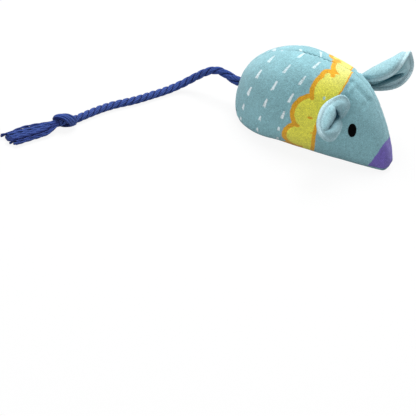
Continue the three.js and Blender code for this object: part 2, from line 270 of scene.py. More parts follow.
STRANDS = 3
STRAND_YARNS = 6
LAY = 15.8
STRAND_OUT = 1.36
YARN_LAY = 11
YARN_OUT = 0.56
YARN_ASIDE = 0.95
YARN = 0.58
GROOVE_FLOOR = 1.85
GROOVE_TOP = 2.45
LOOSE_RUN = 16
LOOSE_SPREAD = 0.3
LOOSE_TWIST = 0.35
CURVE_STEPS = 24
CORD_STEP = 0.55
ROOT_STEPS = 24
ROOT_INSET = 0.6


def even_walk(points, step):
    """Evenly spaced points on the smooth curve through the given ones, and how far along it they are."""
    points = np.array(points, float)
    ends = np.vstack([2 * points[0] - points[1], points, 2 * points[-1] - points[-2]])
    t = np.linspace(0, 1, CURVE_STEPS, endpoint=False)[:, None]
    walk = [
        0.5 * (2 * b + (c - a) * t + (2 * a - 5 * b + 4 * c - d) * t**2 + (3 * b - a - 3 * c + d) * t**3)
        for a, b, c, d in zip(ends, ends[1:], ends[2:], ends[3:])
    ]
    walk = np.vstack(walk + [points[-1:]])
    run = run_along(walk)
    even = np.linspace(0, run[-1], round(run[-1] / step) + 1)
    return points_at(walk, run, even), even


def frames_along(line):
    """Two directions square to the line at each of its points, with no turn of their own."""
    heading = units(np.gradient(line, axis=0))
    first = np.array([0, 0, 1.0])
    normals = []
    for ahead in heading:
        first = unit(first - ahead * (first @ ahead))
        normals.append(first)
    normals = np.array(normals)
    return normals, np.cross(heading, normals)


def tubes(name, lines, radius, resolution=2, closed=False):
    """Round yarns along the given lines, as one mesh."""
    curve = bpy.data.curves.new(name, "CURVE")
    curve.dimensions = "3D"
    curve.bevel_depth = radius * MM
    curve.bevel_resolution = resolution
    curve.use_fill_caps = True
    for line in lines:
        spline = curve.splines.new("POLY")
        spline.points.add(len(line) - 1)
        spline.points.foreach_set("co", np.column_stack([line * MM, np.ones(len(line))]).ravel())
        spline.use_cyclic_u = closed
        spline.use_smooth = True
    piece = bpy.data.objects.new(name, curve)
    bpy.context.collection.objects.link(piece)
    select_only(piece)
    bpy.ops.object.convert(target="MESH")
    piece = bpy.context.object
    merge_doubles(piece)
    return piece


def strand_lines(line, run, loose):
    """The yarns of a three-strand cord along a line, opened out at its start where it is loose."""
    normal, side = frames_along(line)
    slack = loose * (1 - ease(0, LOOSE_RUN, run))
    rate = (1 - slack * (1 - LOOSE_TWIST)) / LAY
    lay = -TURN * np.concatenate([[0], np.cumsum((rate[1:] + rate[:-1]) / 2 * np.diff(run))])
    spin = TURN * run / YARN_LAY
    spread = 1 + LOOSE_SPREAD * slack

    def out(angle, radius):
        return (np.cos(angle)[:, None] * normal + np.sin(angle)[:, None] * side) * radius[:, None]

    yarns = []
    for strand in range(STRANDS):
        turn = lay + strand * TURN / STRANDS
        middle = line + out(turn, STRAND_OUT * spread)
        for yarn in range(STRAND_YARNS):
            place = spin + yarn * TURN / STRAND_YARNS
            outward = out(turn, YARN_OUT * spread * np.cos(place))
            yarns.append(middle + outward + out(turn + math.pi / 2, YARN_ASIDE * spread * np.sin(place)))
    return yarns


def nearest(piece, points):
    """For each point of a piece, the number of the nearest of the given points, and how far it is."""
    tree = kdtree.KDTree(len(points))
    for k, spot in enumerate(points):
        tree.insert(spot, k)
    tree.balance()
    number, distance = np.array([tree.find(spot)[1:] for spot in places_of(piece)]).T
    return number.astype(int), distance


def note_depth(piece, line):
    """Keeps how deep each point lies between the strands, where the yarn's material paints shade."""
    note(piece, groove=1 - ease(GROOVE_FLOOR, GROOVE_TOP, nearest(piece, line)[1]))


def tail_points():
    return [(REAR - back, -right, clear + CORD / 2) for back, right, clear in TAIL_ROUTE]


def tail_cord():
    line, run = even_walk(tail_points(), CORD_STEP)
    cord = tubes("tail_cord_strands", strand_lines(line, run, 1), YARN)
    note_depth(cord, line)
    return cord, line


def tail_root():
    x = np.linspace(REAR + TAIL_TUCK, REAR + ROOT_INSET, ROOT_STEPS)
    line = np.column_stack([x, np.zeros(ROOT_STEPS), np.full(ROOT_STEPS, TAIL_Z)])
    return tubes("tail_root_strands", strand_lines(line, REAR + TAIL_TUCK - x, 0), YARN)


def knot_frame():
    """The knot's middle, and the way that the tail runs through it."""
    last, before = (np.array(point) for point in (tail_points()[-1], tail_points()[-2]))
    ahead = unit((last - before) * (1, 1, 0))
    middle = last + ahead * (KNOT_LENGTH / 2 - GAP)
    middle[2] = KNOT_WIDTH / 2
    return middle, ahead


# Knot

KNOT_FACE = 51
KNOT_SLANT = 4.0
KNOT_LOBES = 0.25
KNOT_BACK = 0.8
KNOT_PINCH = 0.22
KNOT_YARN = 0.74
KNOT_STEPS = 96
WRAP_RADIUS = 3.2
WRAP_WIDE = 2.1
WRAP_THICK = 1.25
WRAP_YARNS = 5
WRAP_LAYERS = (1, -0.25)
WRAP_CROWN = 0.85
CORE_STEPS = 30


def waver(draw, angle, size, waves):
    """A slight wave round a ring, which starts anywhere."""
    return size * np.sin(waves * angle + draw.uniform(0, 6))


def tail_knot():
    """The cord's own yarns in a slanting wrap round the run that passes through it."""
    middle, ahead = knot_frame()
    up = np.array([0, 0, 1.0])
    level = np.cross(up, ahead)
    face = level * math.cos(math.radians(KNOT_FACE)) + up * math.sin(math.radians(KNOT_FACE))
    top = np.cross(ahead, face)
    angle = np.linspace(0, TURN, KNOT_STEPS + 1)
    out = np.cos(angle)[:, None] * face + np.sin(angle)[:, None] * top
    slant = KNOT_SLANT * np.sin(angle) * (1 + KNOT_LOBES * np.sin(angle) ** 2) - KNOT_BACK
    ring = middle + out * WRAP_RADIUS + slant[:, None] * ahead
    across = units(np.cross(units(np.gradient(ring, axis=0)), out))
    pinch = 1 - KNOT_PINCH * np.sin(angle) ** 2
    draw = np.random.default_rng(5)
    yarns = []
    for spread in np.linspace(-1, 1, WRAP_YARNS):
        for layer in WRAP_LAYERS:
            crown = layer * WRAP_THICK * math.sqrt(max(0, 1 - (WRAP_CROWN * spread) ** 2))
            stray = waver(draw, angle, 0.16, 1) + waver(draw, angle, 0.1, 2)
            lift = crown + 0.1 * draw.normal() + waver(draw, angle, 0.12, 2)
            line = ring + (WRAP_WIDE * spread * pinch + stray)[:, None] * across + lift[:, None] * out
            line[:, 2] = np.maximum(line[:, 2], KNOT_YARN)
            yarns.append(line[:-1])
    wraps = tubes("tail_knot_wraps", yarns, KNOT_YARN, closed=True)
    number, _ = nearest(wraps, np.vstack(yarns))
    outward = np.tile(out[:-1], (len(yarns), 1))[number]
    crest = ((places_of(wraps) - np.vstack(yarns)[number]) * outward).sum(axis=1) / KNOT_YARN
    under = number // KNOT_STEPS % len(WRAP_LAYERS)
    # Painted shade: each wrap yarn darker away from its crest, and the under layer dark all over
    note(wraps, groove=np.maximum(1 - ease(0.1, 0.7, crest), under))
    run = np.linspace(0, KNOT_LENGTH - 1, CORE_STEPS)
    core = middle + (run - KNOT_LENGTH / 2 - 1)[:, None] * ahead
    core[:, 2] += (CORD / 2 - KNOT_WIDTH / 2) * (1 - ease(1, 7, run))
    inside = tubes("tail_knot_core", strand_lines(core, run, 0), YARN)
    note_depth(inside, core)
    select_only(wraps, inside)
    bpy.ops.object.join()
    return bpy.context.object


# Tassel

TASSEL_YARNS = 28
TASSEL_STEPS = 56
TASSEL_SHADE = (0.0, 0.8)
TASSEL_TURN = 2.39996
TASSEL_NECK = 1.75
TASSEL_PILE = 1.3
TASSEL_REST = 2.35
TASSEL_STRAY = 0.45
TASSEL_SWAY = 0.55
TASSEL_SLANT = 0.35
TASSEL_TRIM = (-3, 1.5)
FAR_SIDE = 1.3
BOWED_YARNS = (TASSEL_YARNS - 3, TASSEL_YARNS - 8)
BOW = 2.6
BUNCH = 2.6
BUNCH_PULL = 0.22
PLY = 0.5
PLY_OUT = 0.6
PLY_LAY = 13


def tassel_line(yarn, draw, start, along, across):
    """One yarn's way out of the knot: it fans out, sways and lies down on the pile of the others."""
    t = np.linspace(0, 1, TASSEL_STEPS)
    turn = yarn * TASSEL_TURN
    out = math.sqrt((yarn + 0.5) / TASSEL_YARNS)
    near = TASSEL_NECK * out * np.array([math.cos(turn), math.sin(turn)])
    far = np.array([(TASSEL_WIDTH / 2 - 0.4) * out * math.cos(turn), TASSEL_PILE * out * math.sin(turn)])
    far += draw.normal(0, TASSEL_STRAY, 2) * (1, 0.3)
    far[0] *= FAR_SIDE if far[0] > 0 else 1
    far[0] -= BUNCH_PULL * math.sin(TURN * far[0] / BUNCH)
    length = TASSEL_LENGTH + 1 + draw.uniform(*TASSEL_TRIM) - TASSEL_SLANT * far[0]
    sway = draw.normal(0, TASSEL_SWAY) * np.sin(math.pi * t * draw.uniform(0.8, 1.6) + draw.uniform(0, 6)) * t
    bow = BOW * np.sin(math.pi * t) ** 2 if yarn in BOWED_YARNS else 0 * t
    fan = 0.75 * ease(0, 0.36, t) + 0.25 * ease(0.2, 1, t)
    aside = near[0] + (far[0] - near[0]) * fan + sway + bow * np.sign(far[0])
    height = KNOT_WIDTH / 2 - GAP + near[1] * (1 - fan)
    height = height + (TASSEL_REST + far[1] - height) * ease(0, 0.42, t)
    line = start + (length * t)[:, None] * along + aside[:, None] * across
    line[:, 2] = np.maximum(height + 0.35 * sway, 2 * PLY + 0.05)
    return line


def tail_tassel():
    """Untwisted yarns, each of two plies."""
    middle, _ = knot_frame()
    heading = math.radians(TASSEL_HEADING)
    along = np.array([-math.cos(heading), -math.sin(heading), 0])
    across = np.array([-along[1], along[0], 0])
    start = middle + along * (KNOT_LENGTH / 2 - CORD / 2 - 1) - np.array([0, 0, middle[2]])
    draw = np.random.default_rng(8)
    lines = [tassel_line(yarn, draw, start, along, across) for yarn in range(TASSEL_YARNS)]
    plies = []
    for number, line in enumerate(lines):
        normal, side = frames_along(line)
        for half in (0, math.pi):
            spin = TURN * run_along(line) / PLY_LAY + half + number
            around = np.cos(spin)[:, None] * normal + np.sin(spin)[:, None] * side
            plies.append(line + around * PLY * PLY_OUT)
    tassel = tubes("tail_tassel_yarns", plies, PLY, 1)
    shade = np.repeat(draw.uniform(*TASSEL_SHADE, TASSEL_YARNS), 2 * TASSEL_STEPS)
    note(tassel, groove=shade[nearest(tassel, np.vstack(plies))[0]])
    return tassel


# Body form

def share(part, whole):
    return np.clip(part / whole, 0, 1)


def swell(t, power, soft):
    return np.maximum(0, 1 - t**power) ** (1 / soft)


def section(x):
    """Half the body's width, its top and its bottom at a place along it."""
    rump_lift = 1 - swell(share(REAR + RUMP_ROUND - x, RUMP_ROUND), 2, 2)
    nose_lift = 1 - swell(share(x - NOSE + NOSE_ROUND, NOSE_ROUND), 2, 2)
    bottom = -BELLY_CUT + (RUMP_Z + BELLY_CUT) * rump_lift + (NOSE_Z + BELLY_CUT) * nose_lift
    if x < CROWN_X:
        back = swell(share(CROWN_X - x, CROWN_X - REAR), BACK_POWER, BACK_POWER)
        top = RUMP_Z + (BODY_HEIGHT - RUMP_Z) * back
    else:
        brow = swell(share(x - CROWN_X, NOSE - CROWN_X), BROW_POWER, BROW_SOFT)
        top = NOSE_Z + (BODY_HEIGHT - NOSE_Z) * brow
    if x < WIDEST_X:
        half = BODY_WIDTH / 2 * swell(share(WIDEST_X - x, WIDEST_X - REAR), 2, 2)
    else:
        cheek = swell(share(x - WIDEST_X, NOSE - WIDEST_X), CHEEK_POWER, CHEEK_SOFT)
        half = NOSE_WIDTH / 2 + (BODY_WIDTH - NOSE_WIDTH) / 2 * cheek
    return half * (1 - nose_lift), max(top, bottom), bottom


def widest_line(top, bottom):
    """The height at which the body is widest."""
    return bottom + HAUNCH_SHARE * (top - bottom)


def haunch(x):
    """How square the body is below its widest line."""
    return HAUNCH_POWER + (REAR_HAUNCH_POWER - HAUNCH_POWER) * ease(-50, -36, x) * (1 - ease(-32, -14, x))


def skin(x, angle, side):
    """Points of the body's surface at a place along it and angles above its widest line."""
    half, top, bottom = section(x)
    widest = widest_line(top, bottom)
    rise = np.sin(angle)
    power = np.where(rise < 0, 2 / haunch(x), 2 / FLANK_POWER)
    up = np.sign(rise) * np.abs(rise) ** power
    y = side * half * np.abs(np.cos(angle)) ** power
    z = widest + np.where(up < 0, widest - bottom, top - widest) * up
    return np.stack([np.full_like(y, x), y, z], axis=-1)


def base_angle(x):
    """The angle at which a side panel is sewn to the base, or straight down where there is none."""
    _, top, bottom = section(x)
    if bottom >= BASE_EDGE:
        return -math.pi / 2
    widest = widest_line(top, bottom)
    return -math.asin(((widest - BASE_EDGE) / (widest - bottom)) ** (haunch(x) / 2))


def skin_frame(x, degrees, side, small=0.01):
    """A place on the body, and the ways ahead, up the girth and out from it."""
    angle = math.radians(degrees)
    here, fore, aft = (skin(place, np.array([angle]), side)[0] for place in (x, x + small, x - small))
    girth = unit(np.diff(skin(x, np.array([angle - small, angle + small]), side), axis=0)[0])
    out = unit(np.cross(girth, unit(fore - aft))) * side
    ahead = unit(np.cross(out, girth)) * side
    return here, ahead, girth, out


# Body cover: two side panels and a base, sewn together and swelled by the stuffing

SIDE_COLUMNS = 150
SIDE_ROWS = 72
BASE_COLUMNS = 110
BASE_ROWS = 44
ARC_STEPS = 400
BASE_SEARCH = 4000
WELD = 0.02
PARTING = 0.01
NO_PRINT = -99.0
NO_SEAM = 99.0

# Seams, in millimetres: how deep the cloth is drawn in, and half as wide

SEAM_DIP = 0.95
SEAM_HALF = 1.2
PUCKER = 3.1
BASE_DIP = 0.4
BROW_DIP = 1.1
BROW_AT = 36
BROW_HALF = 10
BROW_DOWN = 12
TAIL_DIP = 2.4
TAIL_DIP_HALF = 3.6
UNEVEN = 0.28
UNEVEN_SEAM = 0.22

# Folds on the flat cloth, along the body and up its girth: each line, its depth and half its width

DART = [(14.8, 39.5), (14.3, 30.7), (17.6, 21), (18.6, 13.5)]
DART_RIDGE = [(16.4, 37.6), (15.7, 32)]
BROW_FOLD = [(14.6, 38.8), (16.7, 38.2), (19.4, 36.3), (22, 35), (25, 33.4), (28.3, 31.8)]
BROW_RIDGE = [(17.5, 40.8), (20.5, 39), (24, 37.2), (28, 35)]
FOLDS = [(DART, 0.8, 1.3), (BROW_FOLD, 0.4, 1.1), (DART_RIDGE, -0.4, 1.0), (BROW_RIDGE, -0.4, 1.6)]

# Cloth simulation: it runs at a larger scale, at which the solver is steady

SWELL_SCALE = 20
SWELL_PRESSURE = 4
SWELL_LIMIT = 0.8
SWELL_FRAMES = 20
SWELL_MASS = 0.05
SWELL_QUALITY = 4
HOLD_LEVELS = 20
HOLD_FADE = (0.5, 4)
HOLD_ENDS = 6


def cloth_grid(name, columns, rows):
    """A flat grid of cloth, with the column and row of each of its points."""
    bpy.ops.object.select_all(action="DESELECT")
    bpy.ops.mesh.primitive_grid_add(x_subdivisions=columns, y_subdivisions=rows, size=1)
    piece = named(name)
    flat = places_of(piece) * MM + 0.5
    return piece, np.rint(flat[:, 0] * columns).astype(int), np.rint(flat[:, 1] * rows).astype(int)


def stations(first, last, columns):
    """Places along the body, closer together towards both ends."""
    return [first + (last - first) * (1 - math.cos(math.pi * i / columns)) / 2 for i in range(columns + 1)]


def print_map(piece, along, girth):
    """Keeps the cloth's own flat coordinates, in metres, as the piece's map."""
    layer = piece.data.uv_layers[0]
    layer.name = "cloth"
    corner = np.empty(len(piece.data.loops), dtype=np.int32)
    piece.data.loops.foreach_get("vertex_index", corner)
    flat = np.column_stack([along, girth])[corner] * MM
    layer.uv.foreach_set("vector", flat.astype(np.float32).ravel())


def side_panel(name, side):
    panel, column, row = cloth_grid(name, SIDE_COLUMNS, SIDE_ROWS)
    places = np.empty((SIDE_COLUMNS + 1, SIDE_ROWS + 1, 3))
    girth, from_back, from_base = np.empty((3, SIDE_COLUMNS + 1, SIDE_ROWS + 1))
    for i, x in enumerate(stations(REAR, NOSE, SIDE_COLUMNS)):
        angle = np.linspace(base_angle(x), math.pi / 2, ARC_STEPS)
        line = skin(x, angle, side)
        run = run_along(line)
        even = np.linspace(0, run[-1], SIDE_ROWS + 1)
        places[i] = points_at(line, run, even)
        girth[i] = even - np.interp(0, angle, run)
        from_back[i] = run[-1] - even
        from_base[i] = even
    places, girth = places[column, row], girth[column, row]
    move_points(panel, places)
    print_map(panel, places[:, 0], girth)
    note(
        panel, along=places[:, 0], girth=girth,
        from_back=from_back[column, row], from_base=from_base[column, row],
    )
    if side > 0:
        panel.data.flip_normals()
    return panel


def base_ends():
    """The places along the body where the base begins and ends."""
    low = [x for x in np.linspace(REAR, NOSE, BASE_SEARCH) if section(x)[2] < BASE_EDGE]
    return low[0], low[-1]


def base_panel(name):
    panel, column, row = cloth_grid(name, BASE_COLUMNS, BASE_ROWS)
    places = np.empty((BASE_COLUMNS + 1, BASE_ROWS + 1, 3))
    from_base = np.empty((BASE_COLUMNS + 1, BASE_ROWS + 1))
    for i, x in enumerate(stations(*base_ends(), BASE_COLUMNS)):
        half, top, bottom = section(x)
        widest = widest_line(top, bottom)
        edge = skin(x, np.array([base_angle(x)]), 1)[0]
        y = np.linspace(1, -1, BASE_ROWS + 1) * edge[1]
        up = -((1 - np.abs(y / max(half, 1e-6)) ** haunch(x)) ** (1 / haunch(x)))
        z = np.maximum(0, widest + (widest - bottom) * up)
        places[i] = np.column_stack([np.full_like(y, x), y, z])
        from_base[i] = edge[1] - np.abs(y)
    places = places[column, row]
    move_points(panel, places)
    print_map(panel, places[:, 0], places[:, 1])
    note(
        panel, along=places[:, 0], girth=np.full(len(places), NO_PRINT),
        from_back=np.full(len(places), NO_SEAM), from_base=from_base[column, row],
    )
    return panel


def from_line(along, girth, line):
    """Distance on the flat cloth from a line of points."""
    least = np.full(len(along), 1e3)
    spot = np.column_stack([along, girth])
    for a, b in zip(np.array(line[:-1]), np.array(line[1:])):
        t = np.clip(((spot - a) @ (b - a)) / ((b - a) @ (b - a)), 0, 1)[:, None]
        least = np.minimum(least, np.linalg.norm(spot - a - t * (b - a), axis=1))
    return least


def sew(cover):
    """Draws the cloth in along its seams, its darts and round the tail, and leaves it slightly uneven."""
    places = places_of(cover)
    along, girth, from_back, from_base = noted(cover, "along", "girth", "from_back", "from_base")
    tail = np.linalg.norm(places - (REAR, 0, TAIL_Z), axis=1)
    stitches = 1 + 0.5 * np.cos(TURN * along / PUCKER + 3 * lumps(places, 9, 1))
    drawn = 0.1 + 0.9 * ease(-27, -17, along) * (1 - ease(-6, 4, along))
    depth = SEAM_DIP * bell(from_back, SEAM_HALF) * stitches * drawn
    depth += BASE_DIP * bell(from_base, SEAM_HALF)
    for line, dip, half in FOLDS:
        depth += dip * bell(from_line(along, girth, line), half)
    depth += BROW_DIP * bell(along - BROW_AT, BROW_HALF) * bell(from_back, BROW_DOWN)
    depth += TAIL_DIP * bell(tail, TAIL_DIP_HALF)
    near_seam = bell(from_back, 7) + bell(from_line(along, girth, DART), 6)
    depth += UNEVEN_SEAM * near_seam * lumps(places, 4.5, 2) + UNEVEN * lumps(places, 13, 3)
    move_points(cover, places - normals_of(cover) * depth[:, None])
    places = places_of(cover)
    places[:, 2] = np.maximum(places[:, 2], 0)
    move_points(cover, places)


def swell_cover(cover):
    """Cloth simulation: the filling presses the sewn cover out between its seams, up to a limit."""
    places = places_of(cover)
    girth, from_back, from_base = noted(cover, "girth", "from_back", "from_base")
    ends = np.maximum(bell(places[:, 0] - REAR, HOLD_ENDS), bell(places[:, 0] - NOSE, HOLD_ENDS))
    seams = [1 - ease(*HOLD_FADE, gap) for gap in (from_back, from_base)]
    held = np.maximum.reduce([girth <= NO_PRINT, *seams, ends])
    trial = cover.copy()
    trial.data = cover.data.copy()
    bpy.context.collection.objects.link(trial)
    move_points(trial, places * SWELL_SCALE)
    sewn = trial.vertex_groups.new(name="sewn")
    level = np.rint(held * HOLD_LEVELS).astype(int)
    for step in range(1, HOLD_LEVELS + 1):
        sewn.add(np.flatnonzero(level == step).tolist(), step / HOLD_LEVELS, "REPLACE")
    cloth = trial.modifiers.new("swell", "CLOTH")
    cloth.settings.quality = SWELL_QUALITY
    cloth.settings.mass = SWELL_MASS
    cloth.settings.vertex_group_mass = sewn.name
    cloth.settings.use_pressure = True
    cloth.settings.uniform_pressure_force = SWELL_PRESSURE
    cloth.settings.effector_weights.gravity = 0
    cloth.collision_settings.use_collision = False
    scene = bpy.context.scene
    for number in range(1, SWELL_FRAMES + 1):
        scene.frame_set(number)
    shown = trial.evaluated_get(bpy.context.evaluated_depsgraph_get())
    move = places_of(shown) / SWELL_SCALE - places
    scene.frame_set(1)
    bpy.data.objects.remove(trial)
    length = np.linalg.norm(move, axis=1)
    move_points(cover, places + move * np.minimum(1, SWELL_LIMIT / np.maximum(length, 1e-9))[:, None])


def thicken(panel):
    """Gives a sewn panel its cloth's thickness, inwards."""
    smooth(panel)
    select_only(panel)
    modifier = panel.modifiers.new("cloth", "SOLIDIFY")
    modifier.thickness = CLOTH * MM
    modifier.offset = -1
    bpy.ops.object.modifier_apply(modifier=modifier.name)


def body_cover():
    """The three panels, shaped together as one closed cover and then parted again."""
    panels = [
        side_panel("right_side_cloth", -1),
        side_panel("left_side_cloth", 1),
        base_panel("base_cloth"),
    ]
    names = [panel.name for panel in panels]
    for panel in panels:
        panel.data.materials.append(bpy.data.materials.new(panel.name))
    select_only(*panels)
    bpy.ops.object.join()
    cover = named("sewn_cover")
    merge_doubles(cover, WELD)
    swell_cover(cover)
    sew(cover)
    select_only(cover)
    bpy.ops.object.mode_set(mode="EDIT")
    bpy.ops.mesh.separate(type="MATERIAL")
    bpy.ops.object.mode_set(mode="OBJECT")
    parted = {piece.data.materials[0].name: piece for piece in bpy.context.selected_objects}
    for name in names:
        parted[name].name = name
        parted[name].data.name = name
        parted[name].data.materials.clear()
        thicken(parted[name])
    right, left, base = (parted[name] for name in names)
    for panel, side in ((right, -1), (left, 1)):
        places = places_of(panel)
        places[:, 1] = side * np.maximum(side * places[:, 1], PARTING)
        move_points(panel, places)
    return right, left, base


# Ears: two cloth layers, puffed between the crease and the sewn rim

EAR_SEGMENTS = 192
EAR_RINGS = 96
EAR_REACH = 19
WELT = 0.75
WELT_ROUND = 0.9
RIM_SEAM_AT = 2.4
RIM_SEAM_DIP = 0.35
RIM_SEAM_HALF = 0.55
EAR_UNEVEN = 0.16
FRONT_PUFF = 7.0
BACK_PUFF = 1.9
CREASE = [(0.0, -1.0), (0.08, -0.3), (0.26, 0.42)]

# The right ear's cup: its rim, right, up and out from the root in millimetres, as its open side faces

CUP_RIM = [
    (1.4, -1.3, 0.5), (3.0, 1.9, 3.0), (3.5, 4.5, 5.0), (2.8, 7.1, 6.5), (0.9, 9.5, 8.5),
    (-1.4, 10.2, 10.5), (-3.1, 10.1, 12.0), (-6.8, 8.5, 14.5), (-10.4, 6.2, 17.0), (-13.2, 3.4, 20.0),
    (-14.8, 0.5, 22.0), (-16.2, -4.2, 24.0), (-16.6, -7.7, 25.0), (-16.0, -11.9, 25.5), (-14.4, -14.7, 25.0),
    (-12.0, -16.9, 22.5), (-9.2, -18.0, 18.0), (-6.4, -17.4, 13.0), (-4.5, -15.2, 9.0), (-2.6, -12.4, 5.5),
    (-1.4, -8.9, 2.5), (-2.4, -4.9, -1.0), (-0.5, -3.5, -0.8),
]
CUP_RIM_STEP = 0.3
CUP_HOLE = np.array([-4.5, -1.6, 0.5])
CUP_PLACE = np.array([-6.0, -2.7, 0.5])
CUP_LEAN = np.array([-0.04, -0.03])
CUP_ROLL = (15.5, -0.65, -0.1)
CUP_RISE = 0.4
CUP_PUFF = 1.6
CUP_WALL = 0.8
CUP_BACK = 1.4
CREASE_AT = -1.9
CREASE_HALF = 0.7
CREASE_FADE = 5
CREASE_DIP = 0.75
CREASE_SIDE = 1.7
CREASE_SHIFT = 0.8
UPPER_LOBE = 0.3


def ear_place(ear):
    """The ear's root, and its own ways across, forwards and along."""
    here, ahead, girth, out = skin_frame(EAR_X, EAR_ANGLE, ear["side"])
    along = turned(out, girth, -ear["side"] * ear["lean"])
    depth = turned(ahead, girth, -ear["side"] * ear["lean"])
    along = turned(along, depth, ear["side"] * ear["rise"])
    depth = turned(depth, along, ear["twist"])
    return here, np.cross(depth, along), depth, along


def cup_rim(angle):
    """How far the cup's rim is from its hole, and how far out, at angles round the hole."""
    rim = np.array(CUP_RIM) - CUP_HOLE
    walk, _ = even_walk(np.vstack([rim[-2:], rim, rim[:3]]), CUP_RIM_STEP)
    walk = walk[len(walk) // 12:]
    around = np.arctan2(walk[:, 1], walk[:, 0])
    order = np.argsort(around)
    reach = np.hypot(walk[:, 0], walk[:, 1])
    return [
        np.interp(angle, around[order], values[order], period=TURN) for values in (reach, walk[:, 2])
    ]


def cup_fold(right, up):
    """1 on the roll and 0 in the two lobes, and how deep the crease between is, which fades to the rim."""
    corner = up + 1
    past = right - CREASE_AT - 0.4 * (corner - np.sqrt(corner**2 + 4)) - 0.8 + 0.12 * up
    fade = 1.6 * ease(2, 7, up) + ease(6.5, 11, -up)
    fold = ease(1, -1, past / (CREASE_HALF + CREASE_FADE * fade))
    return fold, bell(past - CREASE_SHIFT, CREASE_SIDE) * np.maximum(0, 1 - fade)


def cup_plan(p, q):
    """Places on the cup's plan, right and up from its hole, how far inside the rim, and the rim's height."""
    angle, r = np.arctan2(q, -p), np.hypot(p, q)
    reach, height = cup_rim(angle)
    return r * reach * np.cos(angle), r * reach * np.sin(angle), (1 - r) * reach, height


def cup_place(right, up, out):
    """Places on the cupped ear, from the root."""
    place = np.column_stack([right, up, out]) + CUP_PLACE
    place[:, :2] += out[:, None] * CUP_LEAN
    return place


def cup_middle(p, q):
    """The cupped ear's middle surface: right, up and out as its open side faces."""
    right, up, inside, height = cup_plan(p, q)
    r = np.hypot(p, q)
    fold, crease = cup_fold(right, up)
    lobes = height * r**CUP_RISE * (1 - CREASE_DIP * crease)
    crown, falls, climbs = CUP_ROLL
    roll = crown + falls * right + climbs * up
    roll = roll + (height - roll) * r**4
    fold = fold + (1 - fold) * UPPER_LOBE * ease(1.5, 6, up)
    out = lobes + (roll - lobes) * fold
    return cup_place(right, up, np.maximum(out, height * r + CUP_WALL * ease(0, 5, inside)))


def fold_middle(p, q, ear):
    """The folded ear's middle surface, across -1 to 1 and along -1 to 1."""
    grown = (q + 1) / 2
    fullness = np.sin(math.pi / 2 * np.minimum(1, grown / EAR_FULL_AT))
    half_width = (EAR_ROOT_WIDTH + (EAR_WIDTH - EAR_ROOT_WIDTH) * fullness) / 2
    half_depth = (EAR_ROOT_WIDTH + (EAR_DEPTH - EAR_ROOT_WIDTH) * fullness) / 2
    upper, lower = np.maximum(0, ear["side"] * p), np.maximum(0, -ear["side"] * p)
    turn = np.radians(ear["upper_curl"] * upper + ear["lower_curl"] * lower)
    aside = half_width * np.sin(turn)
    half_depth = half_depth * (1 + ear["lower_full"] * ease(0, 0.5, lower) * bell(q - 0.25, 0.45))
    depth = half_depth * (1 - np.cos(turn)) - EAR_ROOT_WIDTH / 2
    along = (EAR_LENGTH + EAR_SINK) * grown - EAR_SINK
    half_bend = math.radians(ear["bend"]) / 2
    radius = EAR_LENGTH / (2 * half_bend)
    bend = along / radius - half_bend
    return np.column_stack([
        np.sign(p) * aside,
        radius * (np.cos(bend) - math.cos(half_bend)) + depth * np.cos(bend),
        radius * (np.sin(bend) + math.sin(half_bend)) + depth * np.sin(bend),
    ])


def ear_middle(p, q, ear):
    return cup_middle(p, q) if ear["cupped"] else fold_middle(p, q, ear)


def ear_facing(p, q, ear, small=0.01):
    """The way that the ear's open side faces."""
    across = ear_middle(p + small, q, ear) - ear_middle(p - small, q, ear)
    along = ear_middle(p, q + small, ear) - ear_middle(p, q - small, ear)
    return units(np.cross(along, across))


def squared(p, q, ear):
    """The round flap made squarer or slimmer towards its tip, on each half."""
    power = np.where(p * ear["side"] > 0, ear["upper_square"], ear["lower_square"])
    power = np.where(q > 0, 2 + (power - 2) * ease(0, 0.3, np.abs(p)) * ease(0, 0.2, q), 2)
    grow = square_reach(np.arctan2(q, p), power)
    return p * grow, q * grow


def fold_puff(p, q, inside, ear, front):
    """How far a layer of the folded ear is puffed, how deep its crease is (the mask of the painted shade
    there), and how much painted light its lower half gets.
    """
    aside = -ear["side"] * p
    crease = bell(from_line(aside, q, CREASE), 0.1 + 0.05 * (1 - q)) * (1 - ease(0.2, 0.6, q))
    puff = BACK_PUFF * ease(0.8, 4.5, inside)
    if front:
        puff = FRONT_PUFF * ease(1.5, 7.5, inside) * (1 - 0.97 * crease)
    return puff * (0.5 + 0.5 * ease(-0.95, -0.3, q)), crease, ease(0.35, 0.7, aside)


def cup_puff(right, up, inside):
    """How far a layer of the cupped ear is puffed, how deep its crease is (the mask of the painted shade
    there), and where its rim is stitched.
    """
    seam, crease = cup_fold(right, up)
    puff = CUP_PUFF * ease(1.5, 6, inside) * (1 - 0.9 * crease) * (0.7 + 0.3 * seam)
    return puff, crease * (1 - 0.5 * seam), seam


